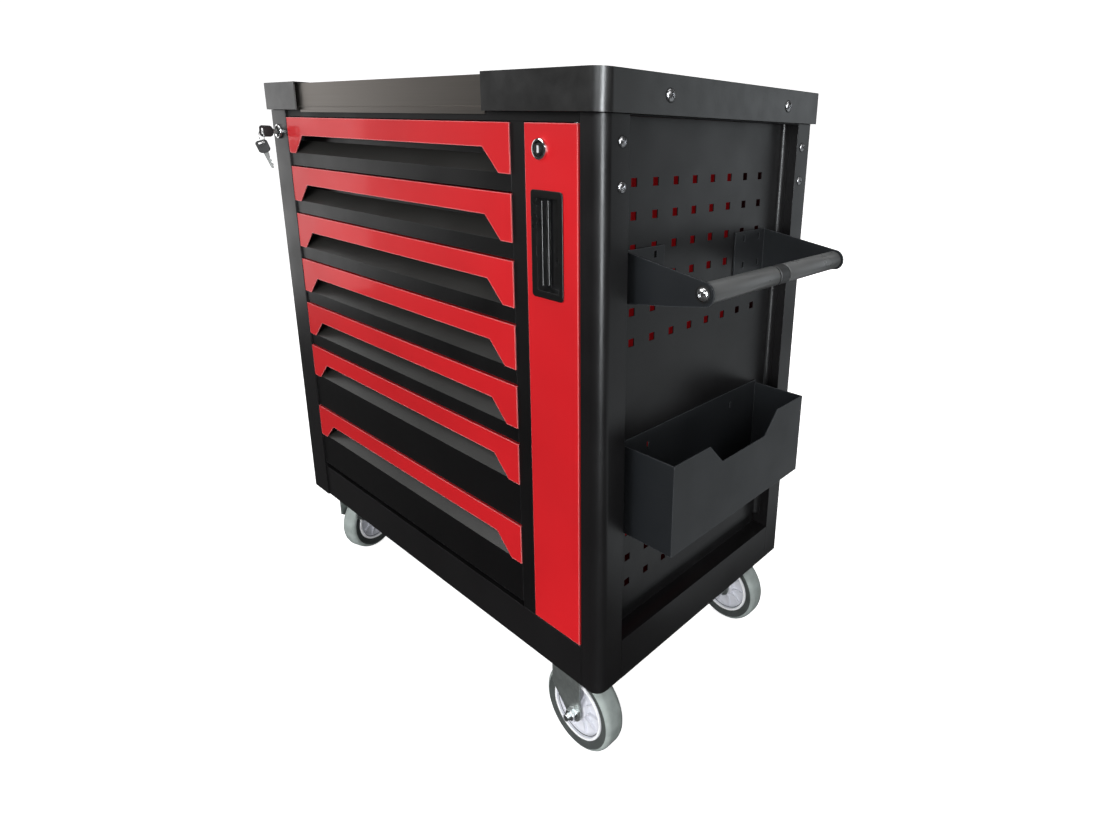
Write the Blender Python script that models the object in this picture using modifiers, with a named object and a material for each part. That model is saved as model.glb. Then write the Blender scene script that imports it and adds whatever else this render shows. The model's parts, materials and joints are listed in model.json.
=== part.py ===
"""Rolling tool box: a seven-drawer steel cabinet with a narrow side cupboard, on four casters.

Metres, +Z up, front towards -Y, handle and hanging bin on +X.  The sub-parts are drawn in
cabinet coordinates (x from the left side, y from the front face, z from the lower edge of
the plinth) and a root empty moves them, so that the world origin is on the floor under the
middle of the overall box.
"""
import math

import bmesh
import bpy
from mathutils import Matrix, Vector

# ---------------------------------------------------------------- driving dimensions
BODY_WIDTH = 0.797
BODY_DEPTH = 0.440
BODY_HEIGHT = 0.7175         # plinth's lower edge to the underside of the worktop
FLOOR_CLEARANCE = 0.1465     # floor to the plinth's lower edge
SHEET = 0.0015               # thickness of the body's sheet steel
GAP = 0.0003                 # between neighbouring pieces
CORNER_RADIUS = 0.016        # vertical corner at the front right
LEFT_CORNER_RADIUS = 0.003
REAR_RADIUS = 0.006

# front layout
LEFT_POST = 0.057            # x where the drawer opening starts
LEFT_POST_FACE = -0.0026     # y of the left post's front face, just proud of the drawers
OPENING_END = 0.652          # x where the drawer opening ends
CUPBOARD_START = 0.676       # x of the cupboard opening
CUPBOARD_END = 0.766
RETURN_DEPTH = 0.018         # depth of the posts' inner returns
BASE_HEIGHT = 0.060
TOP_RAIL_BOTTOM = 0.707

# right-hand side
FRONT_POST_SIDE = 0.043      # y where the recessed peg panel starts
REAR_POST_SIDE = 0.401       # y where it ends
PANEL_FACE = 0.7733          # x of the peg panel's outer face
PANEL_BOTTOM = 0.080
PANEL_TOP = 0.7155
PANEL_BEND = 0.007           # inside radius of the peg panel's rear flange
PANEL_FLANGE = 0.0105
PEG_PITCH = 0.038
PEG_HOLE = 0.010
PEG_COLUMNS = 8
PEG_ROWS = 6
PEG_FIRST_Y = 0.077
PEG_GROUP_BOTTOMS = (0.119, 0.454)   # lowest row of each group of holes

# drawers
DRAWER_TOP = 0.7055          # top of the first drawer's trim
DRAWER_PITCH = 0.0798
TALL_PITCH = 0.1197
DRAWER_PITCHES = (DRAWER_PITCH,) * 5 + (TALL_PITCH,) * 2
DRAWER_GAP = 0.0022          # between one drawer's lip and the next trim
CHANNEL_DEPTH = 0.024        # finger channel, front to back
CHANNEL_TOP = 0.038          # below the drawer's top: where the channel's floor starts
LIP_DROP = 0.0575            # below the drawer's top: upper edge of the front lip
TRAY_X = (0.069, 0.640)
TRAY_BACK = 0.405
RAIL_DROP = 0.040            # runner's centre below the drawer's top
TRIM_BAND = 0.0285
TRIM_LEG = 0.022
TRIM_SLANT = 0.030

# worktop
LID_HEIGHT = 0.0432
LID_OVERHANG = 0.0075
RIGHT_CAP_CORNER = 0.018
LEFT_CAP_CORNER = 0.005
CAP_WALL = 0.0022
LEFT_CAP_END = 0.113
RIGHT_CAP_START = 0.609

# door
DOOR_X = (0.6772, 0.7639)
DOOR_Z = (0.0615, 0.706)
DOOR_FACE = -0.001
DOOR_DEPTH = 0.017
HINGE_X, HINGE_Y = 0.757, 0.004
HINGE_PIN_RADIUS = 0.002
DOOR_LOCK_X, DOOR_LOCK_Z = 0.705, 0.678
PULL_X = (0.6885, 0.7415)
PULL_Z = (0.511, 0.634)

# locks
DRAWER_LOCK_X, DRAWER_LOCK_Z = 0.026, 0.682
LOCK_FLANGE_RADIUS = 0.012
LOCK_NECK_RADIUS = 0.009
PLUG_RADIUS = 0.006
CAM_RADIUS = 0.0085          # crank of the drawer lock's cam
CAM_PIN_RADIUS = 0.0025
LOCK_BAR_X = (0.022, 0.046)
LOCK_BAR_Y = (0.027, 0.029)
KEY_FRONT = -0.034

# handle and bin
HANDLE_Y = (0.060, 0.364)    # outer faces of the two brackets
BRACKET_THICKNESS = 0.002
FRONT_FLANGE, REAR_FLANGE = 0.072, 0.0765
BAR_X, BAR_Z = 0.889, 0.537
BRACKET_TIP_RADIUS = 0.014
GRIP_RADIUS = 0.012
TUBE_RADIUS = 0.0095
BIN_X = (0.7736, 0.858)
BIN_Y = (0.062, 0.368)
BIN_Z = (0.2035, 0.325)

# casters
WHEEL_RADIUS = 0.0635
WHEEL_WIDTH = 0.031
TYRE_INNER = 0.0465
AXLE_RADIUS = 0.006
CASTER_PLATE_TOP = 0.0082
CASTER_PLATE_THICKNESS = 0.0032
MOUNT_HALF_DEPTH = 0.036
FORK_THICKNESS = 0.003
FORK_INNER = 0.0185          # half the gap between a fork's legs
FIXED_AXLE_X = 0.7295
CASTER_INSET = 0.041         # wheel centre from the front and from the back
SWIVEL_X = 0.062
SWIVEL_INSET = 0.057
SWIVEL_TRAIL = 0.024
AXLE_Z = WHEEL_RADIUS - FLOOR_CLEARANCE
SEGMENTS = 24

# the overall box, for the origin
X_LOW = -LID_OVERHANG
X_HIGH = BAR_X + BRACKET_TIP_RADIUS
Y_LOW = KEY_FRONT
Y_HIGH = BODY_DEPTH + LID_OVERHANG

LID_TOP = BODY_HEIGHT + LID_HEIGHT


# ---------------------------------------------------------------- scene and materials
for old in list(bpy.data.objects):
    bpy.data.objects.remove(old, do_unlink=True)

PARTS = bpy.data.collections.new("rolling_tool_box")
CUTTERS = bpy.data.collections.new("cutters")
bpy.context.scene.collection.children.link(PARTS)
bpy.context.scene.collection.children.link(CUTTERS)


def material(name, colour, roughness, metallic=0.0):
    mat = bpy.data.materials.new(name)
    mat.use_nodes = True
    shader = mat.node_tree.nodes["Principled BSDF"]
    shader.inputs["Base Color"].default_value = (*colour, 1.0)
    shader.inputs["Roughness"].default_value = roughness
    shader.inputs["Metallic"].default_value = metallic
    mat.diffuse_color = (*colour, 1.0)
    return mat


def empty(name, place, parent=None):
    """An empty at a place in cabinet coordinates."""
    node = bpy.data.objects.new(name, None)
    node.empty_display_size = 0.03
    PARTS.objects.link(node)
    node.parent = parent
    node.location = Vector(place) - PLACES.get(parent, Vector())
    PLACES[node] = Vector(place)
    return node


def part(name, mesh, mat, parent):
    """A sub-part whose mesh is in cabinet coordinates, hung on an empty."""
    obj = bpy.data.objects.new(name, mesh)
    PARTS.objects.link(obj)
    mesh.materials.clear()
    mesh.materials.append(mat)
    obj.parent = parent
    obj.location = -PLACES[parent]
    return obj


PLACES = {}
ROOT = empty("tool_box", (0.0, 0.0, 0.0))
ROOT.location = (-(X_LOW + X_HIGH) / 2, -(Y_LOW + Y_HIGH) / 2, FLOOR_CLEARANCE)

BLACK = material("black_powder_coat", (0.012, 0.012, 0.013), 0.38)
RED = material("red_enamel", (0.55, 0.008, 0.012), 0.25)
STAINLESS = material("brushed_stainless", (0.42, 0.38, 0.34), 0.33, 1.0)
ABS = material("black_cap_plastic", (0.02, 0.02, 0.021), 0.42)
GLOSS_PLASTIC = material("gloss_black_plastic", (0.01, 0.01, 0.01), 0.15)
CHROME = material("chrome", (0.8, 0.8, 0.8), 0.08, 1.0)
ZINC = material("zinc_plate", (0.55, 0.57, 0.58), 0.35, 1.0)
GRIP = material("grip_plastic", (0.05, 0.05, 0.052), 0.45)
HUB = material("hub_plastic", (0.62, 0.62, 0.66), 0.4)
RUBBER = material("grey_rubber", (0.16, 0.17, 0.165), 0.7)


# ---------------------------------------------------------------- shape helpers
PLANES = {
    "xy": Matrix(((1, 0, 0), (0, 1, 0), (0, 0, 1))).to_4x4(),
    "yz": Matrix(((0, 0, 1), (1, 0, 0), (0, 1, 0))).to_4x4(),
    "zx": Matrix(((0, 1, 0), (0, 0, 1), (1, 0, 0))).to_4x4(),
}


def arc(centre, radius, start, end, steps):
    """Points on an arc, angles in degrees."""
    points = []
    for i in range(steps + 1):
        angle = math.radians(start + (end - start) * i / steps)
        points.append((centre[0] + radius * math.cos(angle), centre[1] + radius * math.sin(angle)))
    return points


def rounded_rectangle(low, high, radius, steps=3):
    (x0, y0), (x1, y1) = low, high
    corners = (
        ((x1 - radius, y0 + radius), 270),
        ((x1 - radius, y1 - radius), 0),
        ((x0 + radius, y1 - radius), 90),
        ((x0 + radius, y0 + radius), 180),
    )
    points = []
    for centre, angle in corners:
        points += arc(centre, radius, angle, angle + 90, steps)
    return points


def rectangle(low, high):
    return [(low[0], low[1]), (high[0], low[1]), (high[0], high[1]), (low[0], high[1])]


def mesh_from(bm, name):
    bmesh.ops.recalc_face_normals(bm, faces=bm.faces)
    mesh = bpy.data.meshes.new(name)
    bm.to_mesh(mesh)
    bm.free()
    return mesh


def box(name, low, high):
    bm = bmesh.new()
    low, high = Vector(low), Vector(high)
    place = Matrix.Translation((low + high) / 2) @ Matrix.Diagonal((*(high - low), 1.0))
    bmesh.ops.create_cube(bm, size=1.0, matrix=place)
    return mesh_from(bm, name)


def cylinder(name, centre, radius, start, end, plane="zx", segments=SEGMENTS):
    """A cylinder along the plane's normal; centre is in the plane's two axes."""
    bm = bmesh.new()
    place = Matrix.Translation((centre[0], centre[1], (start + end) / 2))
    bmesh.ops.create_cone(bm, cap_ends=True, segments=segments, radius1=radius, radius2=radius,
                          depth=end - start, matrix=PLANES[plane] @ place)
    return mesh_from(bm, name)


def plate(name, outlines, start, end, plane="xy"):
    """A flat plate: the first outline is its edge and the others are holes."""
    curve = bpy.data.curves.new(name, "CURVE")
    curve.dimensions = "2D"
    curve.fill_mode = "BOTH"
    curve.extrude = (end - start) / 2
    for outline in outlines:
        spline = curve.splines.new("POLY")
        spline.points.add(len(outline) - 1)
        for point, (u, v) in zip(spline.points, outline):
            point.co = (u, v, 0.0, 1.0)
        spline.use_cyclic_u = True
    holder = bpy.data.objects.new(name, curve)
    CUTTERS.objects.link(holder)
    mesh = bpy.data.meshes.new_from_object(holder.evaluated_get(bpy.context.evaluated_depsgraph_get()))
    bpy.data.objects.remove(holder, do_unlink=True)
    bm = bmesh.new()
    bm.from_mesh(mesh)
    bmesh.ops.remove_doubles(bm, verts=bm.verts, dist=0.00001)
    bm.transform(PLANES[plane] @ Matrix.Translation((0.0, 0.0, (start + end) / 2)))
    bpy.data.meshes.remove(mesh)
    return mesh_from(bm, name)


def strip(name, path, start, end, plane="xy"):
    """An open sheet: a path in a plane, swept along the plane's normal."""
    bm = bmesh.new()
    rows = []
    for level in (start, end):
        rows.append([bm.verts.new((u, v, level)) for u, v in path])
    for i in range(len(path) - 1):
        bm.faces.new((rows[0][i], rows[0][i + 1], rows[1][i + 1], rows[1][i]))
    bm.transform(PLANES[plane])
    mesh = bpy.data.meshes.new(name)
    bm.to_mesh(mesh)
    bm.free()
    return mesh


def thicken(obj, thickness, side=-1.0):
    """Solidify: side -1 puts the metal to the left of the path's direction of travel."""
    modifier = obj.modifiers.new("thickness", "SOLIDIFY")
    modifier.thickness = thickness
    modifier.offset = side
    modifier.use_even_offset = True
    return obj


def open_tray(name, low, high, open_side):
    """A box with one face left out, open_side being a direction such as (0, 0, 1)."""
    mesh = box(name, low, high)
    bm = bmesh.new()
    bm.from_mesh(mesh)
    lid = [f for f in bm.faces if f.normal.dot(Vector(open_side)) > 0.9]
    bmesh.ops.delete(bm, geom=lid, context="FACES")
    bm.to_mesh(mesh)
    bm.free()
    return mesh


def helper(mesh, parent=None):
    """A hidden object that a Boolean modifier reads."""
    obj = bpy.data.objects.new(mesh.name, mesh)
    CUTTERS.objects.link(obj)
    obj.hide_render = True
    obj.display_type = "WIRE"
    frame = parent or ROOT
    obj.parent = frame
    obj.location = -PLACES[frame]
    return obj


def combine(obj, operation, meshes):
    for mesh in meshes:
        modifier = obj.modifiers.new(operation.lower(), "BOOLEAN")
        modifier.operation = operation
        modifier.solver = "EXACT"
        modifier.object = mesh if isinstance(mesh, bpy.types.Object) else helper(mesh, obj.parent)
    return obj


def add(obj, *meshes):
    return combine(obj, "UNION", meshes)


def cut(obj, *meshes):
    return combine(obj, "DIFFERENCE", meshes)


def turned(name, profile, centre, plane, mat, parent, steps=SEGMENTS):
    """A profile of (radius, distance along the axis) points, turned with Screw.

    The loop is put in the order that gives outward faces: down its outer side.
    A profile that starts and ends on the axis stays open there.
    """
    area = 0.0
    for (r0, a0), (r1, a1) in zip(profile, profile[1:] + profile[:1]):
        area += r0 * a1 - r1 * a0
    if area > 0.0:
        profile = profile[::-1]
    bm = bmesh.new()
    verts = [bm.verts.new((radius, 0.0, along)) for radius, along in profile]
    pairs = list(zip(verts, verts[1:]))
    if profile[0][0] > 0.0 or profile[-1][0] > 0.0:
        pairs.append((verts[-1], verts[0]))
    for pair in pairs:
        bm.edges.new(pair)
    mesh = bpy.data.meshes.new(name)
    bm.to_mesh(mesh)
    bm.free()
    obj = part(name, mesh, mat, parent)
    screw = obj.modifiers.new("turn", "SCREW")
    screw.steps = steps
    screw.render_steps = steps
    screw.use_merge_vertices = True
    screw.merge_threshold = 0.00001
    spot = PLANES[plane] @ Vector(centre) - PLACES[parent]
    obj.matrix_basis = Matrix.Translation(spot) @ PLANES[plane]
    return obj


def smooth(obj, angle=35.0):
    obj.data.shade_smooth()
    obj.data.set_sharp_from_angle(angle=math.radians(angle))
    return obj


# ---------------------------------------------------------------- body shell
def left_side_panel():
    """One folded sheet: rear flange, side, and the front post with its inner return."""
    path = [(0.020, BODY_DEPTH)]
    path += arc((REAR_RADIUS, BODY_DEPTH - REAR_RADIUS), REAR_RADIUS, 90, 180, 3)
    corner = LEFT_CORNER_RADIUS
    path += arc((corner, LEFT_POST_FACE + corner), corner, 180, 270, 4)
    path += [(LEFT_POST, LEFT_POST_FACE), (LEFT_POST, RETURN_DEPTH)]
    obj = part("left_side_panel", strip("left_side_panel", path, 0.0, BODY_HEIGHT - GAP), BLACK, ROOT)
    thicken(obj, SHEET)
    hole = cylinder("drawer_lock_hole", (DRAWER_LOCK_Z, DRAWER_LOCK_X), LOCK_NECK_RADIUS + GAP,
                    -0.005, 0.010)
    smooth(cut(obj, hole))


def right_front_post():
    path = [(CUPBOARD_END, RETURN_DEPTH), (CUPBOARD_END, 0.0)]
    path += arc((BODY_WIDTH - CORNER_RADIUS, CORNER_RADIUS), CORNER_RADIUS, 270, 360, 8)
    path += [(BODY_WIDTH, FRONT_POST_SIDE), (CUPBOARD_END + 0.002, FRONT_POST_SIDE)]
    mesh = strip("right_front_post", path, 0.0, BODY_HEIGHT - GAP)
    smooth(thicken(part("right_front_post", mesh, BLACK, ROOT), SHEET))


def right_rear_post():
    path = [(CUPBOARD_END, REAR_POST_SIDE), (BODY_WIDTH, REAR_POST_SIDE)]
    path += arc((BODY_WIDTH - REAR_RADIUS, BODY_DEPTH - REAR_RADIUS), REAR_RADIUS, 0, 90, 3)
    path += [(BODY_WIDTH - 0.020, BODY_DEPTH)]
    mesh = strip("right_rear_post", path, 0.0, BODY_HEIGHT - GAP)
    smooth(thicken(part("right_rear_post", mesh, BLACK, ROOT), SHEET))


def frame_outline():
    """Plan of the base and of the top panel, which fit between the four posts."""
    front = RETURN_DEPTH + GAP
    side = SHEET + GAP
    rear = BODY_DEPTH - SHEET - GAP
    post = CUPBOARD_END - GAP
    return [
        (LEFT_POST + GAP, 0.0),
        (post, 0.0),
        (post, FRONT_POST_SIDE + GAP),
        (BODY_WIDTH, FRONT_POST_SIDE + GAP),
        (BODY_WIDTH, REAR_POST_SIDE - GAP),
        (post, REAR_POST_SIDE - GAP),
        (post, rear),
        (REAR_RADIUS, rear),
        (side, BODY_DEPTH - REAR_RADIUS),
        (side, front),
        (LEFT_POST + GAP, front),
    ]


def skirted_panel(name, low, high):
    """A panel with its edges folded down on all sides."""
    outline = frame_outline()
    bm = bmesh.new()
    rows = [[bm.verts.new((x, y, z)) for x, y in outline] for z in (low, high)]
    count = len(outline)
    for i in range(count):
        j = (i + 1) % count
        bm.faces.new((rows[0][i], rows[0][j], rows[1][j], rows[1][i]))
    bm.faces.new(rows[1])
    mesh = bpy.data.meshes.new(name)
    bm.to_mesh(mesh)
    bm.free()
    return thicken(part(name, mesh, BLACK, ROOT), SHEET)


def base_tray():
    """Floor and plinth, the upstand behind the peg panel, and two caster channels."""
    obj = skirted_panel("base_tray", 0.0, BASE_HEIGHT)
    upstand = box("upstand", (0.768, 0.045, BASE_HEIGHT - 0.001),
                  (0.7695, 0.399, PANEL_BOTTOM - 0.002))
    rear = BODY_DEPTH - SHEET - GAP - 0.0005
    left = box("left_channel", (0.0075, 0.0195, 0.0085), (0.125, rear, 0.0105))
    right = box("right_channel", (0.660, 0.0005, 0.0085), (CUPBOARD_END - 0.001, rear, 0.0105))
    add(obj, upstand, left, right)


def top_panel():
    """The right-hand side has no skirt, so that the peg panel reaches up to the worktop."""
    obj = skirted_panel("top_panel", TOP_RAIL_BOTTOM, BODY_HEIGHT - GAP)
    under = BODY_HEIGHT - GAP - SHEET + 0.00005
    cut(obj, box("side_recess", (PANEL_FACE - SHEET - GAP, FRONT_POST_SIDE, TOP_RAIL_BOTTOM - 0.010),
                 (BODY_WIDTH + 0.001, REAR_POST_SIDE, under)))


def back_panel():
    mesh = box("back_panel", (0.020 + GAP, BODY_DEPTH - SHEET, 0.0),
               (BODY_WIDTH - 0.020 - GAP, BODY_DEPTH, BODY_HEIGHT - GAP))
    part("back_panel", mesh, BLACK, ROOT)


def centre_post():
    path = [(OPENING_END, 0.020), (OPENING_END, 0.0), (CUPBOARD_START, 0.0), (CUPBOARD_START, 0.020)]
    mesh = strip("centre_post", path, BASE_HEIGHT + GAP, TOP_RAIL_BOTTOM - GAP)
    thicken(part("centre_post", mesh, BLACK, ROOT), SHEET)


def divider_wall():
    middle = (OPENING_END + CUPBOARD_START) / 2
    mesh = box("divider_wall", (middle - SHEET / 2, SHEET + 2 * GAP, BASE_HEIGHT + GAP),
               (middle + SHEET / 2, BODY_DEPTH - SHEET - 2 * GAP, TOP_RAIL_BOTTOM - GAP))
    part("divider_wall", mesh, RED, ROOT)


def peg_panel():
    """Recessed side panel with two groups of square holes and a bent-out rear flange."""
    bend_y = REAR_POST_SIDE - GAP - SHEET - PANEL_BEND
    outlines = [rectangle((FRONT_POST_SIDE + GAP, PANEL_BOTTOM), (bend_y, PANEL_TOP))]
    half = PEG_HOLE / 2
    for bottom in PEG_GROUP_BOTTOMS:
        for row in range(PEG_ROWS):
            for column in range(PEG_COLUMNS):
                y = PEG_FIRST_Y + column * PEG_PITCH
                z = bottom + row * PEG_PITCH
                outlines.append(rectangle((y - half, z - half), (y + half, z + half)))
    mesh = plate("peg_panel", outlines, PANEL_FACE - SHEET, PANEL_FACE, "yz")
    bm = bmesh.new()
    bm.from_mesh(mesh)
    bmesh.ops.remove_doubles(bm, verts=bm.verts, dist=1e-7)
    faces = [f for f in bm.faces if all(v.co.y > bend_y - 1e-6 for v in f.verts)]
    steps = 5
    for step in range(steps + 1):
        grown = bmesh.ops.extrude_face_region(bm, geom=faces)["geom"]
        bmesh.ops.delete(bm, geom=faces, context="FACES_ONLY")
        verts = [g for g in grown if isinstance(g, bmesh.types.BMVert)]
        faces = [g for g in grown if isinstance(g, bmesh.types.BMFace)]
        if step < steps:
            bmesh.ops.rotate(bm, verts=verts, cent=(PANEL_FACE + PANEL_BEND, bend_y, 0.0),
                             matrix=Matrix.Rotation(-math.pi / 2 / steps, 3, "Z"))
        else:
            bmesh.ops.translate(bm, verts=verts, vec=(PANEL_FLANGE - PANEL_BEND, 0.0, 0.0))
    bm.to_mesh(mesh)
    bm.free()
    smooth(part("peg_panel", mesh, BLACK, ROOT))


# ---------------------------------------------------------------- worktop
def lid_outline(start, inset):
    """Plan of one end cap, from the open end at x = start round its outer corners."""
    front = -LID_OVERHANG + inset
    back = BODY_DEPTH + LID_OVERHANG - inset
    rear = 0.012 - inset
    if start < BODY_WIDTH / 2:
        corner = LEFT_CAP_CORNER - inset
        side = -LID_OVERHANG + inset
        return ([(start, front), (start, back)]
                + arc((side + rear, back - rear), rear, 90, 180, 3)
                + arc((side + corner, front + corner), corner, 180, 270, 4))
    corner = RIGHT_CAP_CORNER - inset
    side = BODY_WIDTH + LID_OVERHANG - inset
    return ([(start, back), (start, front)]
            + arc((side - corner, front + corner), corner, 270, 360, 8)
            + arc((side - rear, back - rear), rear, 0, 90, 3))


def end_cap(name, start, reach):
    """Moulded cap over one end of the worktop, open below and towards the middle."""
    outer = plate(name, [lid_outline(start, 0.0)], BODY_HEIGHT, LID_TOP)
    inner = plate(name + "_inside", [lid_outline(start + reach, CAP_WALL)],
                  BODY_HEIGHT - 0.002, LID_TOP - CAP_WALL)
    smooth(cut(part(name, outer, ABS, ROOT), inner))


def worktop_sheet():
    """Stainless worktop with folded edges; its ends are under the caps."""
    front = -0.0015
    low = (0.030, front, BODY_HEIGHT + GAP)
    high = (BODY_WIDTH - 0.030, BODY_DEPTH - front, LID_TOP - CAP_WALL - GAP)
    obj = part("worktop_sheet", open_tray("worktop_sheet", low, high, (0, 0, -1)), STAINLESS, ROOT)
    thicken(obj, 0.0012)
    for y0, y1 in ((front, -GAP), (BODY_DEPTH + GAP, BODY_DEPTH - front)):
        hem = box("worktop_hem", (LEFT_CAP_END + 0.002, y0 + 0.0001, BODY_HEIGHT - 0.0035),
                  (RIGHT_CAP_START - 0.002, y1, BODY_HEIGHT + 0.001))
        add(obj, hem)


# ---------------------------------------------------------------- drawers
def drawer_tops():
    tops = []
    top = DRAWER_TOP
    for pitch in DRAWER_PITCHES:
        tops.append((top, pitch))
        top -= pitch
    return tops


def slide_rack(name, side):
    """Fixed runners for all drawers on two uprights; side +1 is the rack on the left."""
    inner = TRAY_X[0] - 0.007 if side > 0 else TRAY_X[1] + 0.007
    back = inner - side * 0.006
    groove = inner - side * 0.0045
    wall = SHEET + 2 * GAP if side > 0 else (OPENING_END + CUPBOARD_START) / 2 - SHEET / 2 - GAP
    obj = None
    for top, _ in drawer_tops():
        z = top - RAIL_DROP
        section = [
            (z - 0.015, back), (z + 0.015, back), (z + 0.015, inner), (z + 0.0085, inner),
            (z + 0.0085, groove), (z - 0.0085, groove), (z - 0.0085, inner), (z - 0.015, inner),
        ]
        rail = plate(name, [section], 0.027, 0.420, "zx")
        if obj is None:
            obj = part(name, rail, ZINC, ROOT)
        else:
            add(obj, rail)
    for y in (0.080, 0.350):
        flange_x = sorted((back + side * 0.0005, back - side * 0.0015))
        web_x = sorted((back - side * 0.0010, wall))
        add(obj, box("rack_flange", (flange_x[0], y - 0.010, BASE_HEIGHT + GAP),
                     (flange_x[1], y + 0.012, TOP_RAIL_BOTTOM - GAP)))
        add(obj, box("rack_web", (web_x[0], y, BASE_HEIGHT + 2 * GAP),
                     (web_x[1], y + 0.002, TOP_RAIL_BOTTOM - 2 * GAP)))


def drawer_front_path(top, bottom):
    """Backing flange, finger channel, front lip and bottom return, in (y, z)."""
    return [
        (0.0, top - TRIM_BAND + 0.003),
        (0.0, top - 0.002),
        (CHANNEL_DEPTH, top - 0.002),
        (CHANNEL_DEPTH, top - CHANNEL_TOP),
        (SHEET, top - LIP_DROP),
        (SHEET, bottom + SHEET),
        (0.014, bottom + SHEET),
    ]


def drawer(number, top, pitch):
    """Tray, front, runner bars and lock catch of one drawer, with its trim."""
    name = "drawer_%d" % number
    bottom = top - pitch + DRAWER_GAP
    slide = empty(name + "_slide", ((LEFT_POST + OPENING_END) / 2, 0.0, top), ROOT)
    left, right = LEFT_POST + GAP, OPENING_END - GAP
    sheet = strip(name, drawer_front_path(top, bottom), left, right, "yz")
    obj = thicken(part(name, sheet, BLACK, slide), SHEET, 1.0)

    inset = 0.0002
    ends = []
    for x in (left + inset, right - inset - SHEET):
        ends.append(box("front_end", (x, inset, bottom + inset),
                        (x + SHEET, CHANNEL_DEPTH - inset, top - 0.002 - inset)))
    tray_low = (TRAY_X[0], CHANNEL_DEPTH - 0.0008, top - pitch + 0.008)
    tray_high = (TRAY_X[1], TRAY_BACK, top - 0.006)
    tray = helper(open_tray("tray", tray_low, tray_high, (0, 0, 1)), slide)
    thicken(tray, SHEET)
    z = top - RAIL_DROP
    rails = []
    for x0, x1 in ((TRAY_X[0] - 0.0105, TRAY_X[0] + 0.0007),
                   (TRAY_X[1] - 0.0007, TRAY_X[1] + 0.0105)):
        rails.append(box("runner", (x0, CHANNEL_DEPTH + 0.001, z - 0.007), (x1, 0.400, z + 0.007)))
    catch = box("catch", (LEFT_POST + 0.0010, 0.034, top - 0.022),
                (TRAY_X[0] + 0.0007, 0.036, top - 0.012))
    add(obj, *ends, tray, *rails, catch)
    drawer_trim(number, top, slide)


def drawer_trim(number, top, slide):
    """Red trim: a band with a leg at each end, folded back over the drawer's top edge."""
    left, right = LEFT_POST + GAP, OPENING_END - GAP
    band, foot = top - TRIM_BAND, top - LIP_DROP
    outline = [
        (foot, left), (foot, left + TRIM_LEG), (band, left + TRIM_LEG + TRIM_SLANT),
        (band, right - TRIM_LEG - TRIM_SLANT), (foot, right - TRIM_LEG), (foot, right),
        (top, right), (top, left),
    ]
    name = "drawer_trim_%d" % number
    face = plate(name, [outline], -SHEET - GAP, -GAP, "zx")
    obj = part(name, face, RED, slide)
    fold = box("trim_fold", (left + 0.0001, -0.001, top - SHEET), (right - 0.0001, 0.010, top - 0.0001))
    add(obj, fold)


# ---------------------------------------------------------------- cupboard door
def lock_barrel(name, x, z, face, length, mat, parent):
    """Flanged sleeve along Y with a bore for the plug."""
    bore = PLUG_RADIUS + GAP
    profile = [
        (LOCK_FLANGE_RADIUS - 0.0015, face - 0.004), (LOCK_FLANGE_RADIUS, face - 0.0025),
        (LOCK_FLANGE_RADIUS, face - GAP), (LOCK_NECK_RADIUS, face - GAP),
        (LOCK_NECK_RADIUS, face + length), (bore, face + length), (bore, face - 0.004),
    ]
    return smooth(turned(name, profile, (z, x, 0.0), "zx", mat, parent))


def lock_plug(name, x, z, face, length, mat, parent, extras):
    """Plug in a barrel's bore, with a keyway in its face and a cam behind."""
    obj = part(name, cylinder(name, (z, x), PLUG_RADIUS, face - 0.0035, face + length), mat, parent)
    keyway = box("keyway", (x - 0.0013, face - 0.006, z - 0.004), (x + 0.0013, face + 0.0137, z + 0.004))
    smooth(add(cut(obj, keyway), *extras))
    return obj


def door():
    hinge = empty("door_hinge", (HINGE_X, HINGE_Y, DOOR_Z[0]), ROOT)
    low = (DOOR_X[0], DOOR_FACE, DOOR_Z[0])
    high = (DOOR_X[1], DOOR_FACE + DOOR_DEPTH, DOOR_Z[1])
    mesh = open_tray("door_panel", low, high, (0, 1, 0))
    bm = bmesh.new()
    bm.from_mesh(mesh)
    front = [e for e in bm.edges
             if all(abs(v.co.y - DOOR_FACE) < 1e-5 for v in e.verts)]
    bmesh.ops.bevel(bm, geom=front, offset=0.0015, segments=2, affect="EDGES", profile=0.5)
    bm.to_mesh(mesh)
    bm.free()
    obj = thicken(part("door_panel", mesh, RED, hinge), 0.0012)
    lock_hole = cylinder("door_lock_hole", (DOOR_LOCK_Z, DOOR_LOCK_X), LOCK_NECK_RADIUS + GAP,
                         -0.010, 0.010)
    cup_hole = box("cup_hole", (PULL_X[0] + 0.0042, -0.010, PULL_Z[0] + 0.0052),
                   (PULL_X[1] - 0.0037, 0.010, PULL_Z[1] - 0.0052))
    pins = []
    for z in DOOR_Z:
        pins.append(cylinder("pin_hole", (HINGE_X, HINGE_Y), HINGE_PIN_RADIUS + GAP,
                             z - 0.005, z + 0.005, "xy", 16))
    smooth(cut(obj, lock_hole, cup_hole, *pins))

    door_pull(hinge)
    lock_barrel("door_lock_barrel", DOOR_LOCK_X, DOOR_LOCK_Z, DOOR_FACE, 0.0205, CHROME, hinge)
    turn = empty("door_lock_turn", (DOOR_LOCK_X, 0.0, DOOR_LOCK_Z), hinge)
    cam = box("door_cam", (DOOR_LOCK_X - 0.006, 0.0205, DOOR_LOCK_Z - 0.034),
              (DOOR_LOCK_X + 0.006, 0.0227, DOOR_LOCK_Z + 0.006))
    lock_plug("door_lock_plug", DOOR_LOCK_X, DOOR_LOCK_Z, DOOR_FACE, 0.0225, CHROME, turn, [cam])


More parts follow.
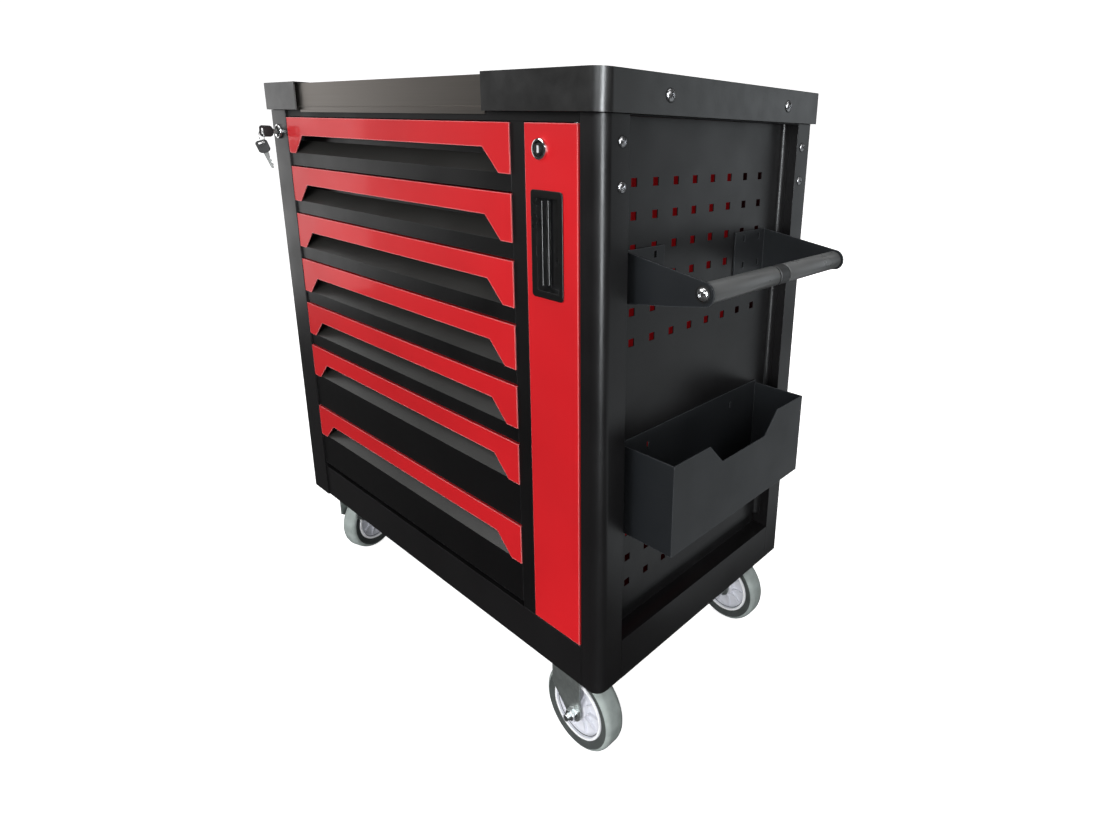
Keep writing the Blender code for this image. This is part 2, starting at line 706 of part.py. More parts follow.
def door_pull(hinge):
    """Flush cup with a rounded flange and one sloping side."""
    face = DOOR_FACE - GAP
    flange = plate("door_pull", [rounded_rectangle((PULL_Z[0], PULL_X[0]), (PULL_Z[1], PULL_X[1]), 0.0045)],
                   face - 0.0018, face, "zx")
    obj = part("door_pull", flange, GLOSS_PLASTIC, hinge)
    left, right = PULL_X[0] + 0.0075, PULL_X[1] - 0.0065
    bottom, top = PULL_Z[0] + 0.0085, PULL_Z[1] - 0.0085
    wall = 0.003
    cup = box("cup", (left - wall, face - 0.001, bottom - wall), (right + wall - 0.0006, 0.0145, top + wall))
    hollow = plate("cup_hollow", [[(left, -0.010), (right, -0.010), (right, 0.013),
                                   (left + 0.008, 0.013)]], bottom, top)
    smooth(cut(add(obj, cup), hollow))


def hinge_pins():
    low = cylinder("lower_hinge_pin", (HINGE_X, HINGE_Y), HINGE_PIN_RADIUS,
                   BASE_HEIGHT + GAP, DOOR_Z[0] + 0.007, "xy", 16)
    high = cylinder("upper_hinge_pin", (HINGE_X, HINGE_Y), HINGE_PIN_RADIUS,
                    DOOR_Z[1] - 0.007, BODY_HEIGHT - SHEET - 2 * GAP, "xy", 16)
    smooth(part("lower_hinge_pin", low, ZINC, ROOT))
    smooth(part("upper_hinge_pin", high, ZINC, ROOT))


# ---------------------------------------------------------------- drawer lock
def drawer_lock():
    """Barrel, plug with its cam, key, and the bar that the cam lowers behind the catches."""
    x, z = DRAWER_LOCK_X, DRAWER_LOCK_Z
    lock_barrel("drawer_lock_barrel", x, z, LEFT_POST_FACE, 0.0215 - LEFT_POST_FACE, CHROME, ROOT)
    turn = empty("drawer_lock_turn", (x, 0.0, z), ROOT)
    reach = CAM_RADIUS * math.cos(math.radians(45))
    arm = box("cam_arm", (-0.005, 0.0223, -0.005), (CAM_RADIUS + 0.0035, 0.0245, 0.005))
    arm.transform(Matrix.Translation((x, 0.0, z)) @ Matrix.Rotation(math.radians(-45), 4, "Y"))
    pin = cylinder("cam_pin", (z + reach, x + reach), CAM_PIN_RADIUS, 0.0240, 0.0302, segments=16)
    lock_plug("drawer_lock_plug", x, z, LEFT_POST_FACE, 0.0240 - LEFT_POST_FACE, CHROME, turn, [arm, pin])

    bow_half = 0.0095
    bow = rounded_rectangle((KEY_FRONT, z - bow_half), (-0.012, z + bow_half), 0.003, 2)
    slot = rectangle((KEY_FRONT + 0.003, z - 0.0055), (KEY_FRONT + 0.006, z + 0.0055))
    key = part("lock_key", plate("lock_key", [bow, slot[::-1]], x - 0.0012, x + 0.0012, "yz"),
               GLOSS_PLASTIC, turn)
    blade = box("key_blade", (x - 0.0010, -0.0125, z - 0.0035), (x + 0.0010, 0.010, z + 0.0035))
    add(key, blade)
    lock_bar(z + reach, x)


def lock_bar(pin_z, lock_x):
    slide = empty("lock_bar_slide", (lock_x, LOCK_BAR_Y[0], pin_z), ROOT)
    low = (0.076, LOCK_BAR_X[0])
    high = (0.700, LOCK_BAR_X[1])
    slot_half = CAM_PIN_RADIUS + 0.0007
    slot = rectangle((pin_z - slot_half, lock_x + 0.0020), (pin_z + slot_half, lock_x + 0.0125))
    bar = plate("lock_bar", [rectangle(low, high), slot[::-1]], *LOCK_BAR_Y, "zx")
    obj = part("lock_bar", bar, ZINC, slide)
    for top, _ in drawer_tops():
        add(obj, box("lock_tab", (LOCK_BAR_X[1] - 0.001, LOCK_BAR_Y[0] + 0.0003, top - 0.0095),
                     (LEFT_POST + 0.004, LOCK_BAR_Y[1] + 0.0021, top - 0.0050)))


# ---------------------------------------------------------------- handle
def handle_bracket(name, side):
    """Side plate that tapers to the bar, with a flange on the peg panel; side +1 is the front."""
    outer = HANDLE_Y[0] if side > 0 else HANDLE_Y[1]
    root_x = PANEL_FACE + GAP
    tip = BRACKET_TIP_RADIUS
    outline = [(0.5055, root_x), (0.5175, BAR_X - 0.033)]
    outline += arc((BAR_Z, BAR_X), tip, 155, 20, 9)
    outline += [(0.568, root_x)]
    y0, y1 = sorted((outer, outer + side * BRACKET_THICKNESS))
    web = plate(name, [outline], y0, y1, "zx")
    obj = part(name, web, BLACK, ROOT)
    inner = outer + side * (FRONT_FLANGE if side > 0 else REAR_FLANGE)
    f0, f1 = sorted((outer + side * 0.0001, inner))
    holes = []
    for column in (0.0170, 0.0550):
        y = outer + side * column
        for z in (0.520, 0.558):
            holes.append(rectangle((y - 0.0025, z - 0.0045), (y + 0.0025, z + 0.0045)))
    flange = plate("flange", [rectangle((f0, 0.5056), (f1, 0.5679))] + holes,
                   root_x + 0.0001, root_x + BRACKET_THICKNESS, "yz")
    bolt_hole = cylinder("bolt_hole", (BAR_Z, BAR_X), 0.0043, y0 - 0.002, y1 + 0.002, segments=16)
    cut(add(obj, flange), bolt_hole)


def handle():
    handle_bracket("handle_bracket_front", 1)
    handle_bracket("handle_bracket_rear", -1)
    start = HANDLE_Y[0] + BRACKET_THICKNESS + GAP
    end = HANDLE_Y[1] - BRACKET_THICKNESS - GAP
    middle = (start + end) / 2
    bore = TUBE_RADIUS - 0.002
    collar, half = GRIP_RADIUS + 0.0002, 0.010
    bar = [
        (bore, start), (TUBE_RADIUS, start), (TUBE_RADIUS, middle - half), (collar, middle - half),
        (collar, middle + half), (TUBE_RADIUS, middle + half), (TUBE_RADIUS, end), (bore, end),
    ]
    centre = (BAR_Z, BAR_X, 0.0)
    smooth(turned("handle_bar", bar, centre, "zx", BLACK, ROOT, 24))
    grips = (
        ("handle_grip_front", start + 0.001, middle - half - 0.002),
        ("handle_grip_rear", middle + half + 0.002, end - 0.001),
    )
    for name, y0, y1 in grips:
        edge = 0.0015
        sleeve = [
            (TUBE_RADIUS + GAP, y0), (GRIP_RADIUS - edge, y0), (GRIP_RADIUS, y0 + edge),
            (GRIP_RADIUS, y1 - edge), (GRIP_RADIUS - edge, y1), (TUBE_RADIUS + GAP, y1),
        ]
        smooth(turned(name, sleeve, centre, "zx", GRIP, ROOT, 24))
    for name, y, out in (("handle_bolt_front", HANDLE_Y[0] - GAP, -1),
                         ("handle_bolt_rear", HANDLE_Y[1] + GAP, 1)):
        handle_bolt(name, y, out)


def handle_bolt(name, seat, out):
    """Button-head bolt: a domed head outside the bracket and a shank inside the tube."""
    head = arc((0.0, 0.0), 1.0, 0, 90, 4)
    dome = [(0.008 * u, seat + out * 0.0045 * v) for u, v in head[:-1]]
    dome.append((0.0, seat + out * 0.0045))
    shank = seat - out * 0.016
    profile = [(0.0, shank), (0.004, shank), (0.004, seat)] + dome
    smooth(turned(name, profile, (BAR_Z, BAR_X, 0.0), "zx", CHROME, ROOT, 20))


# ---------------------------------------------------------------- hanging bin
def side_bin():
    """Open sheet-metal bin with a cut-down front and a slightly taller back."""
    low = (BIN_X[0], BIN_Y[0], BIN_Z[0])
    high = (BIN_X[1], BIN_Y[1], BIN_Z[1])
    obj = part("side_bin", open_tray("side_bin", low, high, (0, 0, 1)), BLACK, ROOT)
    thicken(obj, SHEET)
    back = box("bin_back", (low[0] + 0.0002, low[1] + 0.0002, low[2] + 0.010),
               (low[0] + SHEET + 0.0004, high[1] - 0.0002, high[2] + 0.004))
    middle = (low[1] + high[1]) / 2
    notch = [
        (middle - 0.0835, high[2] + 0.004), (middle - 0.0810, high[2]), (middle - 0.0515, 0.294),
        (middle + 0.0515, 0.294), (middle + 0.0810, high[2]), (middle + 0.0835, high[2] + 0.004),
    ]
    front_cut = plate("bin_notch", [notch], high[0] - 0.004, high[0] + 0.004, "yz")
    slots = []
    for y in (middle - 0.1045, middle + 0.082):
        slots.append(box("bin_slot", (low[0] - 0.001, y - 0.002, 0.303), (low[0] + 0.003, y + 0.002, 0.313)))
    cut(add(obj, back), front_cut, *slots)


# ---------------------------------------------------------------- casters
def wheel(where, spin, plane_turn):
    """Hub and tyre on an axle along Y, turned about the vertical by plane_turn."""
    half = WHEEL_WIDTH / 2
    tread = [
        (TYRE_INNER, -half + 0.004), (TYRE_INNER + 0.003, -half + 0.001), (WHEEL_RADIUS - 0.007, -half),
        (WHEEL_RADIUS - 0.002, -half + 0.003), (WHEEL_RADIUS, -half + 0.008),
        (WHEEL_RADIUS, half - 0.008), (WHEEL_RADIUS - 0.002, half - 0.003),
        (WHEEL_RADIUS - 0.007, half), (TYRE_INNER + 0.003, half - 0.001), (TYRE_INNER, half - 0.004),
    ]
    rim = TYRE_INNER - GAP
    bore = AXLE_RADIUS + GAP
    hub = [
        (bore, -half), (0.013, -half), (0.015, -0.008), (0.036, -0.006), (0.040, -half + 0.002),
        (rim, -half + 0.001), (rim, half - 0.001), (0.040, half - 0.002), (0.036, 0.006),
        (0.015, 0.008), (0.013, half), (bore, half),
    ]
    for name, profile, mat in (("tyre", tread, RUBBER), ("hub", hub, HUB)):
        obj = turned("%s_%s" % (name, where), profile, (0.0, 0.0, 0.0), "zx", mat, spin)
        obj.matrix_basis = Matrix.Rotation(plane_turn, 4, "Z") @ PLANES["zx"]
        smooth(obj)


def fork_leg_outline(front, back, top):
    """Leg in (z, x) about the axle: straight at the back, sloping at the front, round below."""
    tip = 0.014
    return ([(top, front), (0.027, front)] + arc((0.0, 0.0), tip, 235, 90, 8)
            + [(0.030, back), (top, back)])


def fork(name, axle, plane_turn, front, back, top, extras, parent):
    """Two legs and a crown joined by the axle."""
    place = Matrix.Translation(axle) @ Matrix.Rotation(plane_turn, 4, "Z")
    legs = []
    for side in (-1, 1):
        y0, y1 = sorted((side * FORK_INNER, side * (FORK_INNER + FORK_THICKNESS)))
        legs.append(plate("leg", [fork_leg_outline(front, back, top)], y0, y1, "zx"))
    reach = FORK_INNER + FORK_THICKNESS + 0.004
    axle_pin = cylinder("axle", (0.0, 0.0), AXLE_RADIUS, -reach, reach, segments=16)
    crown = box("crown", (front + 0.0002, -FORK_INNER - 0.0015, top - FORK_THICKNESS),
                (back - 0.0002, FORK_INNER + 0.0015, top - 0.0002))
    meshes = legs + [axle_pin, crown] + extras
    for mesh in meshes:
        mesh.transform(place)
    obj = part(name, meshes[0], ZINC, parent)
    smooth(add(obj, *meshes[1:]))
    return obj


def fixed_caster(where, y):
    axle = Vector((FIXED_AXLE_X, y, AXLE_Z))
    plate_top = CASTER_PLATE_TOP - AXLE_Z
    plate_low = plate_top - CASTER_PLATE_THICKNESS
    mount = box("mount", (-0.058, -MOUNT_HALF_DEPTH, plate_low), (0.027, MOUNT_HALF_DEPTH, plate_top))
    fork("caster_bracket_" + where, axle, 0.0, -0.043, 0.012, plate_low + 0.001, [mount], ROOT)
    spin = empty("wheel_spin_" + where, axle, ROOT)
    wheel(where, spin, 0.0)


def swivel_caster(where, y, heading):
    """Heading is the direction of the trail, in degrees from +X."""
    pivot = Vector((SWIVEL_X, y, 0.0))
    turn = math.radians(heading)
    trail = Vector((math.cos(turn), math.sin(turn), 0.0)) * SWIVEL_TRAIL
    axle = pivot + trail + Vector((0.0, 0.0, AXLE_Z))
    plate_low = CASTER_PLATE_TOP - CASTER_PLATE_THICKNESS
    mount = box("swivel_plate_" + where, (pivot.x - 0.044, pivot.y - MOUNT_HALF_DEPTH, plate_low),
                (pivot.x + 0.044, pivot.y + MOUNT_HALF_DEPTH, CASTER_PLATE_TOP))
    top_race = cylinder("top_race", (pivot.x, pivot.y), 0.022, plate_low - 0.004, plate_low + 0.001,
                        "xy", 24)
    add(part("swivel_plate_" + where, mount, ZINC, ROOT), top_race)

    swivel = empty("swivel_" + where, (pivot.x, pivot.y, 0.0), ROOT)
    crown_top = plate_low - 0.0075 - AXLE_Z
    race = cylinder("race", (-SWIVEL_TRAIL, 0.0), 0.027, crown_top - 0.001, crown_top + 0.003, "xy", 24)
    fork("caster_fork_" + where, axle, turn, -0.057, 0.010, crown_top, [race], swivel)
    spin = empty("wheel_spin_" + where, axle, swivel)
    wheel(where, spin, turn)


# ---------------------------------------------------------------- the whole box
left_side_panel()
right_front_post()
right_rear_post()
base_tray()
top_panel()
back_panel()
centre_post()
divider_wall()
peg_panel()
worktop_sheet()
end_cap("left_end_cap", LEFT_CAP_END, 0.004)
end_cap("right_end_cap", RIGHT_CAP_START, -0.004)
slide_rack("slide_rack_left", 1)
slide_rack("slide_rack_right", -1)
for index, (drawer_top, drawer_pitch) in enumerate(drawer_tops()):
    drawer(index + 1, drawer_top, drawer_pitch)
door()
hinge_pins()
drawer_lock()
handle()
side_bin()
fixed_caster("front_right", CASTER_INSET)
fixed_caster("rear_right", BODY_DEPTH - CASTER_INSET)
swivel_caster("front_left", SWIVEL_INSET, 108.0)
swivel_caster("rear_left", BODY_DEPTH - SWIVEL_INSET, 288.0)
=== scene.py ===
"""Looks of the rolling tool box: finishes, fine fittings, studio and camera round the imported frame."""
import json
import math
import random

import bmesh
import bpy
from mathutils import Matrix, Vector


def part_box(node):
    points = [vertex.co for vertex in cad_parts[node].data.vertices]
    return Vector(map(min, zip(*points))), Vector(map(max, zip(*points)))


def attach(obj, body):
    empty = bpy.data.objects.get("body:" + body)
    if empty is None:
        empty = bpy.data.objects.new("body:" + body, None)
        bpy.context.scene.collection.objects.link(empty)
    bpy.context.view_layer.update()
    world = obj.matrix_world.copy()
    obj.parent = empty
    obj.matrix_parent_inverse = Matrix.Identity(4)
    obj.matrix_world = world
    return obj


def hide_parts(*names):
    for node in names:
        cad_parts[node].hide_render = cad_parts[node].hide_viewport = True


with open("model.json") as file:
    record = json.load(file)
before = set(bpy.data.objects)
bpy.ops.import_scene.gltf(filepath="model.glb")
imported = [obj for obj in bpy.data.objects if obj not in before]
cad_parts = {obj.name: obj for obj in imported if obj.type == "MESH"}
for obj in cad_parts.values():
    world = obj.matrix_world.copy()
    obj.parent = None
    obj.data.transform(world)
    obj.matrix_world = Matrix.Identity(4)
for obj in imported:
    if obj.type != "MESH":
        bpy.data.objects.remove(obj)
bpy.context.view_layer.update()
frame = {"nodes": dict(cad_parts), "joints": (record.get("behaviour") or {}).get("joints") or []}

NODES = frame["nodes"]
JOINTS = {joint["name"]: joint for joint in frame["joints"]}
SIDE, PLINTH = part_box("left_side_panel")[0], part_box("base_tray")[0]
# cabinet corner: left side, front face, plinth's lower edge
ORIGIN = Vector((SIDE[0], PLINTH[1], PLINTH[2]))
X, Y, Z = Vector((1, 0, 0)), Vector((0, 1, 0)), Vector((0, 0, 1))
SMOOTH_ANGLE = math.radians(32)       # flatter joins between faces are shaded as one curve
WELD_GAP = 0.00002


def at(x, y, z):
    """A place in cabinet coordinates, in the frame's metres."""
    return ORIGIN + Vector((x, y, z))


# ---------------------------------------------------------------- finishes
class Look:
    """A Principled material and the procedural nodes that feed it."""

    def __init__(self, name, colour, roughness, metallic=0.0):
        self.mat = bpy.data.materials.new(name)
        self.mat.use_nodes = True
        self.nodes = self.mat.node_tree.nodes
        self.links = self.mat.node_tree.links
        self.shader = self.nodes["Principled BSDF"]
        self.place = self.nodes.new("ShaderNodeTexCoord").outputs["Object"]
        self.normal = None
        self.set("Base Color", (*colour, 1.0))
        self.set("Roughness", roughness)
        self.set("Metallic", metallic)
        self.mat.diffuse_color = (*colour, 1.0)

    def set(self, socket, value):
        if isinstance(value, bpy.types.NodeSocket):
            self.links.new(value, self.shader.inputs[socket])
        else:
            self.shader.inputs[socket].default_value = value

    def noise(self, scale, stretch=(1, 1, 1), detail=3.0):
        mapping = self.nodes.new("ShaderNodeMapping")
        mapping.inputs["Scale"].default_value = [scale * s for s in stretch]
        texture = self.nodes.new("ShaderNodeTexNoise")
        texture.inputs["Scale"].default_value = 1.0
        texture.inputs["Detail"].default_value = detail
        self.links.new(self.place, mapping.inputs["Vector"])
        self.links.new(mapping.outputs["Vector"], texture.inputs["Vector"])
        return texture.outputs["Fac"]

    def cells(self, scale):
        texture = self.nodes.new("ShaderNodeTexVoronoi")
        texture.inputs["Scale"].default_value = scale
        self.links.new(self.place, texture.inputs["Vector"])
        return texture.outputs["Color"]

    def levels(self, factor, low, high, start=0.3, end=0.7):
        """A number or a colour that goes from low to high as factor goes from start to end."""
        if isinstance(low, tuple):
            ramp = self.nodes.new("ShaderNodeValToRGB")
            ramp.color_ramp.elements[0].position = start
            ramp.color_ramp.elements[1].position = end
            ramp.color_ramp.elements[0].color = (*low, 1.0)
            ramp.color_ramp.elements[1].color = (*high, 1.0)
            self.links.new(factor, ramp.inputs["Fac"])
            return ramp.outputs["Color"]
        rescale = self.nodes.new("ShaderNodeMapRange")
        rescale.inputs["From Min"].default_value = start
        rescale.inputs["From Max"].default_value = end
        rescale.inputs["To Min"].default_value = low
        rescale.inputs["To Max"].default_value = high
        self.links.new(factor, rescale.inputs["Value"])
        return rescale.outputs["Result"]

    def bump(self, height, strength, distance):
        """Bumps are chained, coarse ones first."""
        node = self.nodes.new("ShaderNodeBump")
        node.inputs["Strength"].default_value = strength
        node.inputs["Distance"].default_value = distance
        self.links.new(height, node.inputs["Height"])
        if self.normal is not None:
            self.links.new(self.normal, node.inputs["Normal"])
        self.normal = node.outputs["Normal"]
        self.set("Normal", self.normal)

    def mixed(self, factor, colour, other):
        """A colour socket that goes to the fixed colour other as factor goes to 1."""
        mix = self.nodes.new("ShaderNodeMix")
        mix.data_type = "RGBA"
        self.links.new(factor, mix.inputs["Factor"])
        self.links.new(colour, mix.inputs[6])
        mix.inputs[7].default_value = (*other, 1.0)
        return mix.outputs[2]

    def painted_top_light(self, colour, top_light):
        """Painted light: lightens what faces up towards the given colour, as if lit from above."""
        normal = self.nodes.new("ShaderNodeSeparateXYZ")
        self.links.new(self.nodes.new("ShaderNodeNewGeometry").outputs["Normal"], normal.inputs["Vector"])
        return self.mixed(self.levels(normal.outputs["Z"], 0.0, 1.0, 0.30, 0.75), colour, top_light)

    def painted_edge_highlight(self, colour, lighter, radius):
        """Paints a thin lighter line along sharp edges: a painted highlight."""
        bevel = self.nodes.new("ShaderNodeBevel")
        bevel.samples = 4
        bevel.inputs["Radius"].default_value = radius
        flat = self.nodes.new("ShaderNodeNewGeometry").outputs["Normal"]
        dot = self.nodes.new("ShaderNodeVectorMath")
        dot.operation = "DOT_PRODUCT"
        self.links.new(bevel.outputs["Normal"], dot.inputs[0])
        self.links.new(flat, dot.inputs[1])
        return self.mixed(self.levels(dot.outputs["Value"], 1.0, 0.0, 0.80, 0.985), colour, lighter)


def tint(colour, factor):
    return tuple(c * factor for c in colour)


def coated_steel(name, colour, roughness, coat=0.0, glow=0.0, shine=0.5, edge=None,
                 edge_width=0.0018, top_light=None):
    """Powder coat or enamel: cloudy gloss, orange peel, and the slight waviness of sheet metal."""
    look = Look(name, colour, roughness)
    look.set("Emission Color", (*colour, 1.0))
    look.set("Emission Strength", glow)
    look.set("Specular IOR Level", shine)
    cloudy = look.levels(look.noise(3.0), tint(colour, 0.9), tint(colour, 1.15))
    # painted light: upward faces are lightened towards the given top colour
    if top_light:
        cloudy = look.painted_top_light(cloudy, top_light)
    # painted highlight: sharp edges are lightened towards the edge colour
    look.set("Base Color", look.painted_edge_highlight(cloudy, edge, edge_width) if edge else cloudy)
    look.set("Roughness", look.levels(look.noise(14.0, detail=5.0), roughness - 0.05, roughness + 0.06))
    look.set("Coat Weight", coat)
    look.set("Coat Roughness", 0.07)
    look.bump(look.noise(4.0, detail=1.0), 0.10, 0.004)
    look.bump(look.noise(750.0, detail=2.0), 0.10, 0.00025)
    return look.mat


def brushed_steel(name):
    colour = (0.235, 0.212, 0.190)
    look = Look(name, colour, 0.33, 1.0)
    streaks = look.noise(1.0, (3.0, 1600.0, 1600.0), 3.0)
    look.set("Base Color", look.levels(streaks, tint(colour, 0.96), tint(colour, 1.035)))
    look.set("Roughness", look.levels(look.noise(1.0, (9.0, 700.0, 700.0), 2.0), 0.285, 0.325))
    look.set("Anisotropic", 0.55)
    grain = look.nodes.new("ShaderNodeCombineXYZ")
    grain.inputs["X"].default_value = 1.0
    look.set("Tangent", grain.outputs["Vector"])
    look.bump(streaks, 0.015, 0.0002)
    return look.mat


def moulded(name, colour, roughness, grain=900.0, coat=0.0, depth=0.12, glow=0.0, shine=0.5):
    """Moulded plastic: a fine spark-eroded grain and faint flow clouds."""
    look = Look(name, colour, roughness)
    look.set("Specular IOR Level", shine)
    look.set("Emission Color", (*colour, 1.0))
    look.set("Emission Strength", glow)
    look.set("Base Color", look.levels(look.noise(18.0), tint(colour, 0.92), tint(colour, 1.1)))
    look.set("Roughness", look.levels(look.noise(40.0), roughness - 0.04, roughness + 0.05))
    look.set("Coat Weight", coat)
    look.set("Coat Roughness", 0.08)
    look.bump(look.noise(grain, detail=2.0), depth, 0.0003)
    return look.mat


def plated(name, colour, roughness, spangle=0.12, metallic=1.0):
    """Zinc or chrome plating with faint spangle and fine scratches."""
    look = Look(name, colour, roughness, metallic)
    crystals = look.levels(look.cells(240.0), tint(colour, 1 - spangle), tint(colour, 1 + spangle), 0, 1)
    look.set("Base Color", crystals)
    look.set("Roughness", look.levels(look.noise(60.0, detail=4.0), roughness - 0.04, roughness + 0.09))
    look.bump(look.noise(1.0, (60.0, 900.0, 420.0), 3.0), 0.06, 0.0002)
    return look.mat


def rubber(name, colour, roughness):
    """Matt rubber with a blotchy, pitted skin."""
    look = Look(name, colour, roughness)
    look.set("Base Color", look.levels(look.noise(55.0, detail=6.0), tint(colour, 0.82), tint(colour, 1.16)))
    look.set("Specular IOR Level", 0.3)
    look.bump(look.noise(420.0, detail=4.0), 0.25, 0.0005)
    return look.mat


BLACK = coated_steel("black_powder_coat", (0.0060, 0.0056, 0.0060), 0.34)
# DARK and RED: the edge colour is a painted highlight along sharp edges
DARK = coated_steel("satin_dark_grey", (0.0110, 0.0125, 0.0145), 0.44, edge=(0.060, 0.065, 0.070))
RED = coated_steel("red_enamel", (0.60, 0.011, 0.016), 0.42, 0.25, shine=0.25, edge=(0.95, 0.32, 0.33),
                   edge_width=0.0022)
# drawer coat: its upper faces are painted lighter (painted light) and its sharp edges carry a painted
# highlight
DRAWER_BLACK = coated_steel("black_powder_coat_drawers", (0.0024, 0.0022, 0.0024), 0.35, shine=0.36,
                            edge=(0.040, 0.041, 0.043), edge_width=0.0012, top_light=(0.024, 0.0235, 0.022))
# a darker copy of the black powder coat: painted shade for the recessed centre post and top panel
SHADED_BLACK = coated_steel("black_powder_coat_painted_shade", (0.0030, 0.0028, 0.0030), 0.5, shine=0.22)
# the inside red glows faintly: painted light, seen through the peg holes
INNER_RED = coated_steel("red_enamel_inside", (0.60, 0.011, 0.016), 0.45, 0.2, 0.11, 0.25)
STAINLESS = brushed_steel("brushed_stainless")
CAP = moulded("black_cap_plastic", (0.0066, 0.0066, 0.0066), 0.34, 2600.0, depth=0.03, shine=0.9)
GLOSS = moulded("gloss_black_plastic", (0.004, 0.004, 0.004), 0.30, coat=0.6, depth=0.02)
RIDGE = moulded("gloss_black_ridge", (0.010, 0.010, 0.010), 0.12, coat=1.0, depth=0.0)
KEY_PLASTIC = moulded("key_plastic", (0.008, 0.008, 0.008), 0.55, depth=0.05)
GRIP = moulded("grip_plastic", (0.125, 0.128, 0.128), 0.30, 700.0)
COLLAR = moulded("collar_plastic", (0.030, 0.031, 0.032), 0.5)
CHROME = plated("chrome", (0.80, 0.80, 0.80), 0.09, 0.02)
ZINC = plated("zinc_plate", (0.42, 0.45, 0.44), 0.38)
FORK_ZINC = plated("caster_zinc", (0.30, 0.325, 0.315), 0.42, 0.10, 0.75)
BRIGHT_ZINC = plated("bright_zinc", (0.82, 0.85, 0.85), 0.26, 0.05)
PLUG_BLACK = moulded("plug_face_black", (0.006, 0.006, 0.006), 0.45)
# the shutter glows faintly: painted light that keeps the keyway bright
SHUTTER = moulded("bright_shutter", (0.62, 0.62, 0.64), 0.30, 900.0, glow=0.10)
NICKEL = plated("nickel_key", (0.17, 0.175, 0.17), 0.36, 0.05, 0.3)
SCREW = plated("black_screw", (0.42, 0.42, 0.43), 0.24, 0.05)
# hub plastic glows faintly, painted light; the rim plastic is a lighter copy with a stronger glow, a painted
# highlight on the hub's rounded lip
HUB = moulded("hub_plastic", (0.66, 0.67, 0.72), 0.36, 500.0, glow=0.10)
RIM = moulded("hub_rim_plastic", (0.86, 0.87, 0.89), 0.30, 500.0, glow=0.16)
TREAD = rubber("tread_rubber", (0.36, 0.405, 0.39), 0.75)
WALL = rubber("sidewall_rubber", (0.072, 0.080, 0.078), 0.65)
# deep black: the black washers, and painted shade in the lock barrel's recess
BLACK_AND_PAINTED_SHADE = Look("deep_black", (0.004, 0.004, 0.004), 0.6).mat


# ---------------------------------------------------------------- CAD nodes
def dress(names, mat, edge=0.0005, segments=2):
    """Gives CAD nodes their finish, with softened edges and smooth curves."""
    for name in names:
        obj = NODES[name]
        mesh = obj.data
        for extra in ("custom_normal", "sharp_edge", "sharp_face"):
            if extra in mesh.attributes:
                mesh.attributes.remove(mesh.attributes[extra])
        mesh.shade_smooth()
        mesh.materials.clear()
        mesh.materials.append(mat)
        weld = obj.modifiers.new("weld", "WELD")
        weld.merge_threshold = WELD_GAP
        if edge:
            bevel = obj.modifiers.new("edge", "BEVEL")
            bevel.width = edge
            bevel.segments = segments
            bevel.limit_method = "ANGLE"
            bevel.angle_limit = SMOOTH_ANGLE
            bevel.use_clamp_overlap = True
        else:
            split = obj.modifiers.new("split", "EDGE_SPLIT")
            split.split_angle = SMOOTH_ANGLE
        obj.modifiers.new("shading", "WEIGHTED_NORMAL").keep_sharp = True


NUMBERS = range(1, 8)
dress(["left_side_panel", "right_front_post", "right_rear_post", "base_tray", "back_panel"], BLACK)
# painted shade: the recessed centre post and top panel take the darker coat
dress(["centre_post", "top_panel"], SHADED_BLACK)
dress(["peg_panel"], BLACK, 0.0)
# painted light: the divider's red glows faintly
dress(["divider_wall"], INNER_RED, 0.0)
dress(["drawer_%d" % n for n in NUMBERS], DRAWER_BLACK, 0.0006)
dress(["drawer_trim_%d" % n for n in NUMBERS], RED, 0.0008)
dress(["worktop_sheet"], STAINLESS, 0.0006)
dress(["left_end_cap", "right_end_cap"], CAP, 0.0012, 3)
dress(["slide_rack_left", "slide_rack_right", "upper_hinge_pin", "lower_hinge_pin", "lock_bar"], ZINC, 0.0)
dress(["door_panel"], RED, 0.0)
dress(["door_pull"], GLOSS, 0.0011, 3)
dress(["handle_bracket_front", "handle_bracket_rear", "side_bin"], DARK, 0.0006)
dress(["caster_bracket_front_right", "caster_bracket_rear_right", "caster_fork_front_left",
       "caster_fork_rear_left", "swivel_plate_front_left", "swivel_plate_rear_left"], FORK_ZINC, 0.0005)


# ---------------------------------------------------------------- new pieces
def piece(name, mesh, mats, body):
    """Puts a new mesh in the scene on its moving body; mats is one material or a list by index."""
    obj = bpy.data.objects.new(name, mesh)
    bpy.context.scene.collection.objects.link(obj)
    for mat in mats if isinstance(mats, (list, tuple)) else [mats]:
        mesh.materials.append(mat)
    mesh.shade_smooth()
    mesh.set_sharp_from_angle(angle=SMOOTH_ANGLE)
    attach(obj, body)
    return obj


def basis(centre, axis):
    """Matrix that puts local +Z along axis at centre."""
    return Matrix.Translation(centre) @ Vector(axis).to_track_quat("Z", "Y").to_matrix().to_4x4()


def finished(bm, name):
    """Welds and orients the faces, and hands back a mesh."""
    bmesh.ops.remove_doubles(bm, verts=bm.verts, dist=0.000001)
    bmesh.ops.recalc_face_normals(bm, faces=bm.faces)
    mesh = bpy.data.meshes.new(name)
    bm.to_mesh(mesh)
    bm.free()
    return mesh


